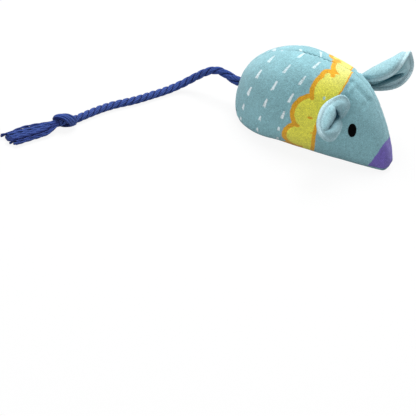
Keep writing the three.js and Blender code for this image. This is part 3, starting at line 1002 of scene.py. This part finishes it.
def ear_layer(ear, front):
    name = ear["name"] + ("_front_cloth" if front else "_back_cloth")
    layer, ball = ball_pad(name, EAR_SEGMENTS, EAR_RINGS)
    p, q = ball[:, 0], ball[:, 1]
    root, *axes = ear_place(ear)
    if ear["cupped"]:
        right, up, inside, height = cup_plan(p, q)
        puff, crease, seam = cup_puff(right, up, inside)
        worn = 0 * p
        axes = camera_turn().to_3x3().transposed()
    else:
        inside = (1 - np.hypot(p, q)) * EAR_REACH
        p, q = squared(p, q, ear)
        puff, crease, worn = fold_puff(p, q, inside, ear, front)
        seam = np.ones(len(p))
    welt = WELT * np.sqrt(np.clip(1 - (1 - np.minimum(inside, WELT_ROUND) / WELT_ROUND) ** 2, 0, 1))
    welt = welt - RIM_SEAM_DIP * seam * bell(inside - RIM_SEAM_AT, RIM_SEAM_HALF)
    lift = welt + puff + EAR_UNEVEN * lumps(ball * EAR_REACH, 5, 4 + front) * ease(1, 5, inside)
    sheet = GAP / 2 * ease(0, 1.2, inside)
    outer = ball[:, 2] < 0 if front else ball[:, 2] > 0
    lift = np.where(outer, lift, sheet) * (1 if front else -1)
    spot = ear_middle(p, q, ear) + ear_facing(p, q, ear) * lift[:, None]
    if ear["cupped"] and not front:
        back = cup_place(right, up, height * np.hypot(p, q) - CUP_BACK * ease(0.5, 5, inside))
        spot = spot + (back - spot) * (outer * ease(0.4, 3.5, inside))[:, None]
    move_points(layer, root + spot @ np.array(axes))
    shown = outer if front else 0
    # Notes the rim, the seam, the mask of the painted shade in the crease, and the mask of the painted light
    # on the folded ear's lower half
    note(layer, rim=np.where(outer, inside, 9), seam=seam, crease=crease * shown, worn=worn * shown)
    smooth(layer)
    return layer


def ear_blend(layer):
    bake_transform(layer)


# Filling: loose fibre, and a sewn pouch of crumbled herb in a hollow under it

POUCH_LENGTH = 42
POUCH_WIDTH = 26
POUCH_HEIGHT = 12
POUCH_CLOTH = 0.6
POUCH_SQUARE = 4
POUCH_SEWN_AT = 0.93
POUCH_Z = CLOTH + GAP + POUCH_HEIGHT / 2
GATHERS = 34
GATHER_DEPTH = 0.22


def pouch_plan(ball, margin):
    """Places on the pouch's plan, and how far out and at which angle each is."""
    angle = np.arctan2(ball[:, 1], ball[:, 0])
    stretch = square_reach(angle, POUCH_SQUARE)
    x = ball[:, 0] * stretch * (POUCH_LENGTH / 2 - margin)
    y = ball[:, 1] * stretch * (POUCH_WIDTH / 2 - margin)
    return x, y, np.hypot(ball[:, 0], ball[:, 1]), angle


def pouch_crown(out):
    """Height of the pouch's cloth over its sewn edge."""
    full = np.maximum(0, 1 - (out / POUCH_SEWN_AT) ** 3) ** 0.6
    return POUCH_CLOTH + (POUCH_HEIGHT / 2 - POUCH_CLOTH - GAP / 2) * full


def pouch_half(name, way):
    piece, ball = ball_pad(name, 96, 48)
    x, y, out, angle = pouch_plan(ball, 0)
    gathers = GATHER_DEPTH * np.sin(angle * GATHERS) * bell(out - 0.86, 0.09)
    outer = ball[:, 2] * way > 0
    rise = pouch_crown(out) + np.where(outer, gathers, gathers - POUCH_CLOTH * ease(1, 0.97, out))
    rise = GAP / 2 + np.clip(rise, 0.02, POUCH_HEIGHT / 2 - GAP / 2)
    move_points(piece, np.column_stack([x, y, POUCH_Z + way * rise]))
    smooth(piece)
    return piece


def crumbled_herb():
    piece, ball = ball_pad("crumbled_catnip", 144, 72)
    x, y, out, _ = pouch_plan(ball, POUCH_CLOTH + 2 * GAP)
    places = np.column_stack([x, y, ball[:, 2] * 5])
    crumbs = 0.5 * np.abs(lumps(places, 1.5, 5)) + 0.5 * np.abs(lumps(places, 3.4, 6))
    rise = np.maximum(0.05, (pouch_crown(out * POUCH_SEWN_AT) - POUCH_CLOTH - 0.2) * (1 - 0.3 * crumbs))
    shrink = 1 - 0.08 * crumbs
    move_points(piece, np.column_stack([x * shrink, y * shrink, POUCH_Z + np.sign(ball[:, 2]) * rise]))
    smooth(piece)
    return piece


def away_from_middle(places):
    """Directions out from the body's middle line."""
    away = places - np.column_stack([places[:, 0] * 0.8, 0 * places[:, 1], np.full(len(places), 20.0)])
    return away / np.maximum(np.linalg.norm(away, axis=1), 0.01)[:, None]


def stuffing_fibre():
    piece, ball = ball_pad("stuffing_fibre", 112, 80)
    inset = CLOTH + 2 * GAP
    places = np.empty_like(ball)
    for k, (aside, up, ahead) in enumerate(ball):
        x = (NOSE - inset - 2) * ahead if ahead > 0 else (-REAR - inset - 1) * ahead
        half, top, bottom = section(x)
        angle = np.array([math.atan2(up, abs(aside))])
        spot = skin(x, angle, math.copysign(1, aside))[0]
        middle = (top + bottom) / 2
        spot[1] *= max(0, 1 - inset / max(half, 0.1))
        spot[2] = middle + (spot[2] - middle) * max(0, 1 - 2 * inset / max(top - bottom, 0.1))
        places[k] = spot
    tufts = 0.9 * np.abs(lumps(places, 5, 7)) + 0.35 * np.abs(lumps(places, 1.8, 8))
    places -= away_from_middle(places) * tufts[:, None]
    out = np.abs(places[:, :2] / (POUCH_LENGTH / 2, POUCH_WIDTH / 2)) ** POUCH_SQUARE
    out = out.sum(axis=1) ** (1 / POUCH_SQUARE)
    hollow = (POUCH_Z + POUCH_HEIGHT / 2 + GAP + 0.4) * (1 - ease(1.04, 1.22, out))
    places[:, 2] = np.maximum(places[:, 2], np.maximum(hollow, CLOTH + GAP + 0.3))
    move_points(piece, places)
    smooth(piece)
    return piece


# Eyes: satin stitch, one thread beside the next

EYE_THREAD = 0.56
EYE_SINK = 0.5
EYE_STITCH_LEAN = 0.12
EYE_ROUND = 0.45
EYE_RIDGE = 0.22


def eye(name, side, panel):
    here, _, girth, out = skin_frame(EYE_X, EYE_ANGLE, side)
    tall = turned(girth, out, side * -EYE_LEAN)
    wide = np.cross(tall, out)
    pad, ball = ball_pad(name, 72, 48)
    a, b, lift = ball[:, 0] * EYE_WIDTH / 2, ball[:, 1] * EYE_HEIGHT / 2, ball[:, 2]
    ridge = np.abs(np.sin(math.pi * (b + EYE_STITCH_LEAN * a) / EYE_THREAD))
    stitched = EYE_RISE * np.maximum(lift, 0) ** EYE_ROUND * (1 - EYE_RIDGE + EYE_RIDGE * ridge)
    height = np.where(lift > 0, stitched, lift * EYE_SINK)
    flat = here + a[:, None] * wide + b[:, None] * tall
    places = np.empty_like(flat)
    for k, spot in enumerate(flat):
        _, place, normal, _ = panel.closest_point_on_mesh(Vector((spot + out * 2) * MM))
        places[k] = np.array(place) / MM + np.array(normal) * height[k]
    move_points(pad, places)
    if side > 0:
        pad.data.flip_normals()
    smooth(pad)
    return pad


# Materials

def paint(red, green, blue):
    """A colour as it is seen, 0 to 255, made linear."""
    seen = [value / 255 for value in (red, green, blue)]
    return (*(c / 12.92 if c <= 0.04 else ((c + 0.055) / 1.055) ** 2.4 for c in seen), 1)


TEAL = paint(121, 165, 173)
EAR_TEAL = paint(137, 176, 184)
PALE_TEAL = paint(168, 196, 190)
# Painted shade for the ears' crease and the cupped ear's lobes
SHADE_TEAL = paint(0, 94, 115)
# Painted shade for the groove along the ears' rim seam
SEAM_SHADE_TEAL = paint(70, 108, 120)
THREAD_TEAL = paint(120, 160, 170)
YELLOW = paint(212, 206, 66)
# Painted sheen: the band's yellow towards the top of the back
SHEEN_YELLOW = paint(192, 194, 122)
ORANGE = paint(206, 148, 0)
PURPLE = paint(99, 82, 163)
CHALK = paint(226, 233, 236)
NAVY = paint(42, 64, 128)
# Painted shade between the cord's strands and in the knot's wrap; random yarn tone in the tassel
SHADE_AND_TONE_NAVY = paint(2, 22, 86)
BLACK = paint(3, 3, 4)
DEEP_BLACK = paint(1, 1, 2)
WHITE = paint(243, 243, 240)
COTTON = paint(232, 227, 214)
LEAF_GREEN = paint(92, 108, 56)
LEAF_BROWN = paint(150, 142, 92)
VELOUR_SHEEN = 0.2
PALE_SHEEN = (0.85, 0.95, 1.0, 1)
YARN_SHEEN = 0.09
BLUE_SHEEN = (0.7, 0.8, 1.0, 1)
PILE_DEPTH = 0.00035
RIB = 0.00098
WEAVE = 0.0008


class Nodes:
    """Adds nodes to one material or group; an input is a plain value or another node's output."""

    def __init__(self, tree):
        self.tree = tree

    def link(self, output, socket):
        self.tree.links.new(output, socket)

    def add(self, kind, inputs=None, **settings):
        node = self.tree.nodes.new("ShaderNode" + kind)
        for name, value in settings.items():
            setattr(node, name, value)
        for socket, value in (inputs or {}).items():
            if isinstance(value, bpy.types.NodeSocket):
                self.link(value, node.inputs[socket])
            else:
                node.inputs[socket].default_value = value
        return node

    def math(self, operation, *values):
        return self.add("Math", dict(enumerate(values)), operation=operation).outputs[0]

    def ramp(self, value, low, high, start=0.0, end=1.0):
        """A smooth step of the value from low to high."""
        inputs = {"Value": value, "From Min": low, "From Max": high, "To Min": start, "To Max": end}
        return self.add("MapRange", inputs, interpolation_type="SMOOTHSTEP").outputs[0]

    def noise(self, vector, scale, detail=2.0, roughness=0.5):
        inputs = {"Vector": vector, "Scale": scale, "Detail": detail, "Roughness": roughness}
        return self.add("TexNoise", inputs).outputs["Fac"]

    def swing(self, value, amount, middle):
        """A value that a noise swings about its middle."""
        return self.math("MULTIPLY_ADD", self.math("SUBTRACT", value, 0.5), amount, middle)

    def noted(self, name):
        """The numbers that a piece keeps for its points."""
        return self.add("Attribute", attribute_name=name).outputs["Fac"]

    def mix(self, amount, low, high, blend="MIX"):
        inputs = {0: amount, 6: low, 7: high}
        return self.add("Mix", inputs, data_type="RGBA", blend_type=blend).outputs[2]

    def between(self, operation, a, b):
        """A vector from two others, or the distance between them."""
        return self.add("VectorMath", {0: a, 1: b}, operation=operation).outputs


def new_group(name, inputs, outputs):
    """A node group with its named sockets."""
    group = bpy.data.node_groups.new(name, "ShaderNodeTree")
    for label, kind, value in inputs:
        socket = group.interface.new_socket(label, in_out="INPUT", socket_type="NodeSocket" + kind)
        if value is not None:
            socket.default_value = value
    for label, kind in outputs:
        group.interface.new_socket(label, in_out="OUTPUT", socket_type="NodeSocket" + kind)
    given = group.nodes.new("NodeGroupInput").outputs
    return group, Nodes(group), given, group.nodes.new("NodeGroupOutput").inputs


def velour_pile():
    """Short brushed pile on a fine knit: a tone that varies over the cloth, and its height."""
    group, nodes, given, out = new_group(
        "velour_pile",
        [("Place", "Vector", None), ("Cloth", "Vector", None), ("Rib Depth", "Float", 0.5)],
        [("Tone", "Float"), ("Height", "Float")],
    )
    speck = nodes.noise(given["Place"], scale=1600, roughness=0.6)
    tuft = nodes.noise(given["Place"], scale=520)
    nap = nodes.noise(given["Place"], scale=95)
    rib = nodes.add("SeparateXYZ", {0: given["Cloth"]}).outputs[1]
    wander = nodes.math("MULTIPLY_ADD", nodes.noise(given["Cloth"], scale=160), 0.0011, rib)
    wave = nodes.math("SINE", nodes.math("MULTIPLY", wander, TURN / RIB))
    # Random patches of worn pile, where the knit's ribs show
    worn = nodes.ramp(nodes.noise(given["Place"], scale=60), 0.42, 0.62)
    ribs = nodes.math("MULTIPLY", nodes.math("MULTIPLY", wave, worn), given["Rib Depth"])
    tone = nodes.swing(nap, 0.3, nodes.swing(tuft, 0.4, nodes.swing(speck, 1.4, 1.0)))
    height = nodes.math("MULTIPLY_ADD", tuft, 0.8, speck)
    nodes.link(nodes.math("MULTIPLY_ADD", ribs, 0.12, tone), out["Tone"])
    nodes.link(nodes.math("MULTIPLY_ADD", ribs, 0.35, height), out["Height"])
    return group


# Print, in millimetres on the flat cloth: along the body, and up its girth from the widest line

LOBES = [
    (-3.0, -5.9, 10.7), (1.6, 11.6, 14.5), (8.8, 29.0, 15.2), (0.6, 38.0, 4.8), (9.0, 48.0, 9.9),
    (15.0, 66.0, 9.9), (-6.0, -24.0, 10.7),
]
OUTLINE = 2.9
HOOKS = [(-6.0, 1.7), (-3.0, 22.0), (3.2, 39.0)]
HOOK_SIZE = (1.5, 1.3)
ORANGE_FLECK = (-0.2, 9.6), (1.6, 0.9)
BARE_FLECK = (3.7, 24.2), (0.8, 1.2)
ROWS = 3
ROW_GAP = 12.95
ROW_FIRST = -16.2
ROW_BOW = 0.0042
DASH_GAP = 12.4
DASH_FIRST = 10
DASH_HALF_WIDTH = 0.72
NOSE_PRINT_AT = 42.3
NOSE_PRINT_LEAN = -0.24
INK_EDGE = 0.2
COARSE_WOBBLE = 1.1
FINE_WOBBLE = 0.7
DASH_WOBBLE = 0.4


def scallops(nodes, spot, along, girth):
    """The band with its outline, and the filling inside the outline."""
    m = nodes.math
    outer = m("SUBTRACT", m("MULTIPLY_ADD", girth, 0.25, 1.0), along)
    inner = outer
    for x, s, radius in LOBES:
        gap = m("SUBTRACT", nodes.between("DISTANCE", spot, (x, s, 0))["Value"], radius)
        outer = m("MINIMUM", outer, gap)
        inner = m("SMOOTH_MIN", inner, gap, 1.0)
    front_edge = m("ADD", nodes.ramp(girth, 5, 38, 5.8, 12.8), nodes.ramp(girth, -14, 6, 1.9, 0.0))
    front = m("SUBTRACT", along, front_edge)
    front_line = nodes.ramp(girth, -6, 30, 2.4, 0.9)
    filling = m("MAXIMUM", m("ADD", inner, OUTLINE), m("ADD", front, front_line))
    return [nodes.ramp(gap, -INK_EDGE, INK_EDGE, 1, 0) for gap in (m("MAXIMUM", outer, front), filling)]


def dashes(nodes, cloth, along, girth):
    """Rows of short strokes behind the band, broken by the pile and fainter on top of the back."""
    m = nodes.math
    bowed = m("MULTIPLY_ADD", m("MULTIPLY", girth, girth), -ROW_BOW, along)
    row = m("DIVIDE", m("SUBTRACT", ROW_FIRST, bowed), ROW_GAP)
    number = m("ROUND", row)
    aside = m("MULTIPLY", m("ABSOLUTE", m("SUBTRACT", row, number)), ROW_GAP)
    level = m("MINIMUM", girth, m("MULTIPLY", girth, 1.45))
    last_drop = m("MULTIPLY", m("GREATER_THAN", number, 1.5), -0.18)
    drop = m("MULTIPLY_ADD", m("LESS_THAN", number, 0.5), 0.36, last_drop)
    step = m("ADD", m("DIVIDE", m("SUBTRACT", level, DASH_FIRST), DASH_GAP), drop)
    reach = m("MULTIPLY", m("SUBTRACT", step, m("ROUND", step)), DASH_GAP)
    half_width = m("MULTIPLY_ADD", reach, -0.08, DASH_HALF_WIDTH)
    half_length = nodes.ramp(girth, -12, 14, 1.7, 3.1)
    dash = nodes.ramp(m("SUBTRACT", aside, half_width), -0.22, 0.22, 1, 0)
    for share_of_ink in (
        nodes.ramp(m("SUBTRACT", m("ABSOLUTE", reach), half_length), -0.3, 0.3, 1, 0),
        m("GREATER_THAN", number, -0.5),
        m("LESS_THAN", number, ROWS - 0.5),
        nodes.ramp(nodes.noise(cloth, scale=1300), 0.3, 0.55, 0.55, 0.82),
        nodes.ramp(girth, 15, 40, 1.0, 0.6),
    ):
        dash = m("MULTIPLY", dash, share_of_ink)
    return dash


def fleck(nodes, spot, place, size):
    """A small oval of ink, from half its size along and up the girth."""
    offset = nodes.between("SUBTRACT", spot, (*place, 0))[0]
    offset = nodes.between("MULTIPLY", offset, (1 / size[0], 1 / size[1], 0))[0]
    reach = nodes.add("VectorMath", {0: offset}, operation="LENGTH").outputs["Value"]
    return nodes.ramp(reach, 0.75, 1.2, 1, 0)


def printed_band():
    """The print's colour: a scalloped yellow band with an orange edge, rows of dashes, and the nose; the
    yellow turns paler and greyer towards the top of the back as painted sheen.
    """
    group, nodes, given, out = new_group(
        "printed_band",
        [("Cloth", "Vector", None), ("Along Shift", "Float", 0.0), ("Girth Shift", "Float", 0.0)],
        [("Color", "Color")],
    )
    m = nodes.math
    cloth = given["Cloth"]
    flat = nodes.add("SeparateXYZ", {0: cloth}).outputs
    coarse, fine = nodes.noise(cloth, scale=420), nodes.noise(cloth, scale=900)
    wobble = nodes.swing(coarse, COARSE_WOBBLE, nodes.swing(fine, FINE_WOBBLE, 0))
    steady = m("MULTIPLY_ADD", flat[0], 1 / MM, given["Along Shift"])
    along = m("ADD", steady, wobble)
    girth = m("MULTIPLY_ADD", flat[1], 1 / MM, given["Girth Shift"])
    spot = nodes.add("CombineXYZ", {0: along, 1: girth}).outputs[0]
    band, filling = scallops(nodes, spot, along, girth)
    dash = dashes(nodes, cloth, m("MULTIPLY_ADD", wobble, DASH_WOBBLE, steady), girth)
    nose = m("MULTIPLY_ADD", flat[0], 1 / MM, m("SUBTRACT", wobble, NOSE_PRINT_AT))
    nose = nodes.ramp(m("MULTIPLY_ADD", flat[1], NOSE_PRINT_LEAN / MM, nose), -0.25, 0.25)
    color = nodes.mix(dash, TEAL, CHALK)
    color = nodes.mix(band, color, ORANGE)
    # Painted sheen: the yellow turns paler and greyer towards the top of the back
    color = nodes.mix(filling, color, nodes.mix(nodes.ramp(girth, 24, 56), YELLOW, SHEEN_YELLOW))
    for hook in HOOKS:
        color = nodes.mix(fleck(nodes, spot, hook, HOOK_SIZE), color, ORANGE)
    color = nodes.mix(fleck(nodes, spot, *ORANGE_FLECK), color, ORANGE)
    color = nodes.mix(fleck(nodes, spot, *BARE_FLECK), color, PALE_TEAL)
    nodes.link(nodes.mix(nose, color, PURPLE), out["Color"])
    return group


def new_material(name):
    """A fresh material, its nodes, its Principled BSDF and the places on its piece."""
    material = bpy.data.materials.new(name)
    material.use_nodes = True
    nodes = Nodes(material.node_tree)
    shader = material.node_tree.nodes["Principled BSDF"]
    return material, nodes, shader, nodes.add("TexCoord").outputs["Object"]


def cloth_shader(nodes, shader, color, tone, height, strength=0.5, sheen=VELOUR_SHEEN, tint=PALE_SHEEN):
    """Soft matt cloth with the pale sheen of its pile."""
    shade = nodes.add("CombineColor", {0: tone, 1: tone, 2: tone}).outputs[0]
    nodes.link(nodes.mix(1.0, color, shade, "MULTIPLY"), shader.inputs["Base Color"])
    bump = nodes.add("Bump", {"Height": height, "Strength": strength, "Distance": PILE_DEPTH})
    nodes.link(bump.outputs[0], shader.inputs["Normal"])
    shader.inputs["Roughness"].default_value = 0.95
    shader.inputs["Specular IOR Level"].default_value = 0.15
    shader.inputs["Sheen Weight"].default_value = sheen
    shader.inputs["Sheen Roughness"].default_value = 0.7
    shader.inputs["Sheen Tint"].default_value = tint


def velour_shader(nodes, shader, color, place, cloth, rib_depth):
    pile = nodes.add("Group", {"Place": place, "Cloth": cloth, "Rib Depth": rib_depth}, node_tree=PILE)
    cloth_shader(nodes, shader, color, pile.outputs["Tone"], pile.outputs["Height"])


def printed_velour(name, along_shift, girth_shift):
    material, nodes, shader, place = new_material(name)
    cloth = nodes.add("UVMap", uv_map="cloth").outputs[0]
    shifts = {"Cloth": cloth, "Along Shift": along_shift, "Girth Shift": girth_shift}
    ink = nodes.add("Group", shifts, node_tree=PRINT)
    velour_shader(nodes, shader, ink.outputs["Color"], place, cloth, rib_depth=0.5)
    return material


def plain_velour(name):
    material, nodes, shader, place = new_material(name)
    velour_shader(nodes, shader, TEAL, place, place, rib_depth=0.2)
    return material


def ear_velour(name):
    """Plain velour, with a painted highlight along the sewn rim, painted light on the folded ear's lower
    half, and painted shade along the rim's stitched groove, in the cupped ear's lobes and in the crease.
    """
    material, nodes, shader, place = new_material(name)
    rim, sewn, worn, crease = (nodes.noted(key) for key in ("rim", "seam", "worn", "crease"))
    # Painted highlight: paler towards the edge of the sewn rim, most where it is stitched
    rim_highlight = nodes.math("MULTIPLY", nodes.ramp(rim, 1.4, 4.2, 0.24, 0.0), nodes.ramp(sewn, 0, 1, 0.3, 1.0))
    groove = nodes.math("ABSOLUTE", nodes.math("SUBTRACT", rim, RIM_SEAM_AT))
    # Painted shade along the groove of the rim's stitch line
    stitched = nodes.math("MULTIPLY", nodes.ramp(groove, 0.2, 0.6, 0.3, 0.0), sewn)
    # Painted shade: the cupped ear's lobes, away from its roll, are mixed a tenth towards the shade colour
    color = nodes.mix(nodes.ramp(sewn, 0, 1, 0.1, 0.0), EAR_TEAL, SHADE_TEAL)
    color = nodes.mix(rim_highlight, color, CHALK)
    # Painted light: the folded ear's lower half is mixed paler towards chalk
    color = nodes.mix(nodes.math("MULTIPLY", worn, 0.22), color, CHALK)
    color = nodes.mix(stitched, color, SEAM_SHADE_TEAL)
    # Painted shade in the crease
    color = nodes.mix(nodes.ramp(crease, 0.05, 0.5), color, SHADE_TEAL)
    velour_shader(nodes, shader, color, place, place, rib_depth=0.2)
    return material


def cotton_yarn(name):
    """Dyed cotton, with painted shade between the strands and in the knot's wrap, and a tone that differs at
    random from yarn to yarn in the tassel.
    """
    material, nodes, shader, place = new_material(name)
    fibre = nodes.noise(place, scale=2600, detail=3, roughness=0.6)
    patch = nodes.noise(place, scale=240)
    tone = nodes.swing(patch, 0.35, nodes.swing(fibre, 0.7, 1.0))
    # Painted shade where the strands meet and on the knot's wrap; a random tone per yarn in the tassel
    color = nodes.mix(nodes.ramp(nodes.noted("groove"), 0.1, 1), NAVY, SHADE_AND_TONE_NAVY)
    cloth_shader(nodes, shader, color, tone, fibre, 0.35, YARN_SHEEN, BLUE_SHEEN)
    return material


def satin_thread(name):
    material, nodes, shader, place = new_material(name)
    fibre = nodes.noise(place, scale=3000)
    nodes.link(nodes.mix(fibre, BLACK, DEEP_BLACK), shader.inputs["Base Color"])
    nodes.link(nodes.ramp(fibre, 0.3, 0.7, 0.5, 0.7), shader.inputs["Roughness"])
    shader.inputs["Specular IOR Level"].default_value = 0.02
    return material


def spun_thread(name):
    """Twisted sewing thread."""
    material, nodes, shader, place = new_material(name)
    inputs = {"Vector": place, "Scale": 900, "Distortion": 1.5}
    twist = nodes.add("TexWave", inputs, bands_direction="DIAGONAL").outputs["Fac"]
    fuzz = nodes.noise(place, scale=2500)
    tone = nodes.math("MULTIPLY_ADD", twist, 0.3, nodes.math("MULTIPLY_ADD", fuzz, 0.3, 0.65))
    cloth_shader(nodes, shader, THREAD_TEAL, tone, twist, 0.4)
    return material


def loose_fibre(name):
    """White polyester fibre."""
    material, nodes, shader, place = new_material(name)
    drawn = nodes.add("Mapping", {"Vector": place, "Scale": (1, 0.35, 1)}).outputs[0]
    hair = nodes.noise(drawn, scale=1400, detail=3, roughness=0.7)
    tuft = nodes.noise(place, scale=210, detail=3)
    tone = nodes.math("MULTIPLY_ADD", hair, 0.3, nodes.math("MULTIPLY_ADD", tuft, 0.2, 0.75))
    cloth_shader(nodes, shader, WHITE, tone, hair, 0.7)
    return material


def woven_cotton(name):
    """Plain weave: threads that pass over and under each other."""
    material, nodes, shader, place = new_material(name)
    flat = nodes.add("SeparateXYZ", {0: place}).outputs
    warp, weft = (nodes.math("SINE", nodes.math("MULTIPLY", flat[k], TURN / WEAVE)) for k in range(2))
    weave = nodes.math("MULTIPLY", warp, weft)
    slub = nodes.noise(place, scale=600)
    tone = nodes.math("MULTIPLY_ADD", weave, 0.07, nodes.math("MULTIPLY_ADD", slub, 0.2, 0.88))
    cloth_shader(nodes, shader, COTTON, tone, weave, 0.4)
    return material


def dried_leaf(name):
    """Crumbled leaf, green to brown from crumb to crumb."""
    material, nodes, shader, place = new_material(name)
    crumb = nodes.add("TexVoronoi", {"Vector": place, "Scale": 750.0}).outputs
    pick = nodes.add("SeparateColor", {0: crumb["Color"]}).outputs[0]
    color = nodes.mix(pick, LEAF_GREEN, LEAF_BROWN)
    tone = nodes.ramp(crumb["Distance"], 0, 0.8, 1.15, 0.6)
    cloth_shader(nodes, shader, color, tone, nodes.noise(place, scale=900, detail=3), 0.9, sheen=0)
    return material


# Stage: white paper under the mouse, a lamp above and behind it, and a weaker one in front

FLOOR_SIZE = 8
FLOOR_GLOW = 0.9
PAPER_GREY = (0.6, 0.6, 0.6, 1)
PURE_WHITE = (1, 1, 1, 1)
ROOM_COLOR = (0.95, 0.98, 1, 1)
ROOM_STRENGTH = 0.27
LAMPS = [((-0.25, 0.5, 1.3), 0.9, 35), ((-0.25, -1.25, 0.8), 1.2, 8)]
LAMP_TARGET = Vector((0, 0, 0.02))


def seen_directly(nodes):
    """1 where the camera sees the surface, straight or through a gloss or clear reflection."""
    path = nodes.add("LightPath").outputs
    seen = nodes.math("MAXIMUM", path["Is Camera Ray"], path["Is Glossy Ray"])
    return nodes.math("MAXIMUM", seen, path["Is Transmission Ray"])


def empty_nodes(owner):
    """The cleared nodes of a material or the world."""
    owner.use_nodes = True
    owner.node_tree.nodes.clear()
    return Nodes(owner.node_tree)


def white_floor():
    bpy.ops.object.select_all(action="DESELECT")
    bpy.ops.mesh.primitive_plane_add(size=FLOOR_SIZE)
    floor = named("studio_floor")
    material = bpy.data.materials.new("studio_paper")
    nodes = empty_nodes(material)
    paper = nodes.add("BsdfDiffuse", {"Color": PAPER_GREY}).outputs[0]
    glow = nodes.add("Emission", {"Color": PURE_WHITE, "Strength": 1.0}).outputs[0]
    amount = nodes.math("MULTIPLY", seen_directly(nodes), FLOOR_GLOW)
    shade = nodes.add("MixShader", {0: amount, 1: paper, 2: glow}).outputs[0]
    nodes.add("OutputMaterial", {"Surface": shade})
    floor.data.materials.append(material)


def studio_light():
    world = bpy.data.worlds.new("studio")
    bpy.context.scene.world = world
    nodes = empty_nodes(world)
    room = nodes.add("Background", {"Color": ROOM_COLOR, "Strength": ROOM_STRENGTH}).outputs[0]
    white = nodes.add("Background", {"Color": PURE_WHITE, "Strength": 1.0}).outputs[0]
    sky = nodes.add("MixShader", {0: seen_directly(nodes), 1: room, 2: white}).outputs[0]
    nodes.add("OutputWorld", {"Surface": sky})
    for place, size, power in LAMPS:
        bpy.ops.object.light_add(type="AREA", location=place)
        lamp = bpy.context.object
        lamp.data.size = size
        lamp.data.energy = power
        lamp.rotation_euler = (LAMP_TARGET - Vector(place)).to_track_quat("-Z", "Y").to_euler()


# Making

def finish(piece, material):
    piece.data.materials.clear()
    piece.data.materials.append(material)


def dress(piece, material, slot, *nodes):
    """Gives a piece its finish and hides the CAD nodes that it stands for."""
    finish(piece, material)
    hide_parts(*nodes)


aim_camera()
PILE = velour_pile()
PRINT = printed_band()

cord_finish = cotton_yarn("navy_cotton_yarn")
cord, cord_line = tail_cord()
knot, tassel, root = tail_knot(), tail_tassel(), tail_root()
for piece, node in ((cord, "tail_cord"), (knot, "tail_knot"), (tassel, "tail_tassel"), (root, "tail_root")):
    dress(piece, cord_finish, "cord", node)
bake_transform(cord)
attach(knot, "tail")
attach(tassel, "tail")
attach(root, "body")

right_side, left_side, base = body_cover()
dress(right_side, printed_velour("right_printed_velour", 0, 0), "velour", "right_side_panel")
dress(left_side, printed_velour("left_printed_velour", 1.5, -5), "velour", "left_side_panel")
dress(base, plain_velour("base_velour"), "velour", "belly_panel")
for panel in (right_side, left_side, base):
    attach(panel, "body")

ear_finish = ear_velour("ear_velour")
for ear in (RIGHT_EAR, LEFT_EAR):
    for front in (True, False):
        layer = ear_layer(ear, front)
        dress(layer, ear_finish, "velour", ear["name"] + ("_front_panel" if front else "_back_panel"))
        ear_blend(layer)

eye_finish = satin_thread("black_satin_thread")
for name, side, panel in (("right_eye", -1, right_side), ("left_eye", 1, left_side)):
    pad = eye(name + "_stitches", side, panel)
    dress(pad, eye_finish, "eye_thread", name)
    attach(pad, "body")

pouch_finish = woven_cotton("pouch_cotton")
pouch_top, pouch_base = pouch_half("pouch_top_cloth", 1), pouch_half("pouch_base_cloth", -1)
herb, fibre = crumbled_herb(), stuffing_fibre()
dress(pouch_top, pouch_finish, "pouch_cloth", "catnip_pouch_top")
dress(pouch_base, pouch_finish, "pouch_cloth", "catnip_pouch_base")
dress(herb, dried_leaf("dried_catnip_leaf"), "herb", "dried_catnip")
dress(fibre, loose_fibre("polyester_fibre"), "fibre", "stuffing")
for piece in (pouch_top, pouch_base, herb, fibre):
    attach(piece, "body")

thread_finish = spun_thread("teal_thread")
for name in ("back_seam_thread", "belly_seam_thread", "right_ear_tack", "left_ear_tack", "tail_whipping"):
    finish(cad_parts[name], thread_finish)

white_floor()
studio_light()
bpy.context.scene.view_settings.view_transform = "Standard"
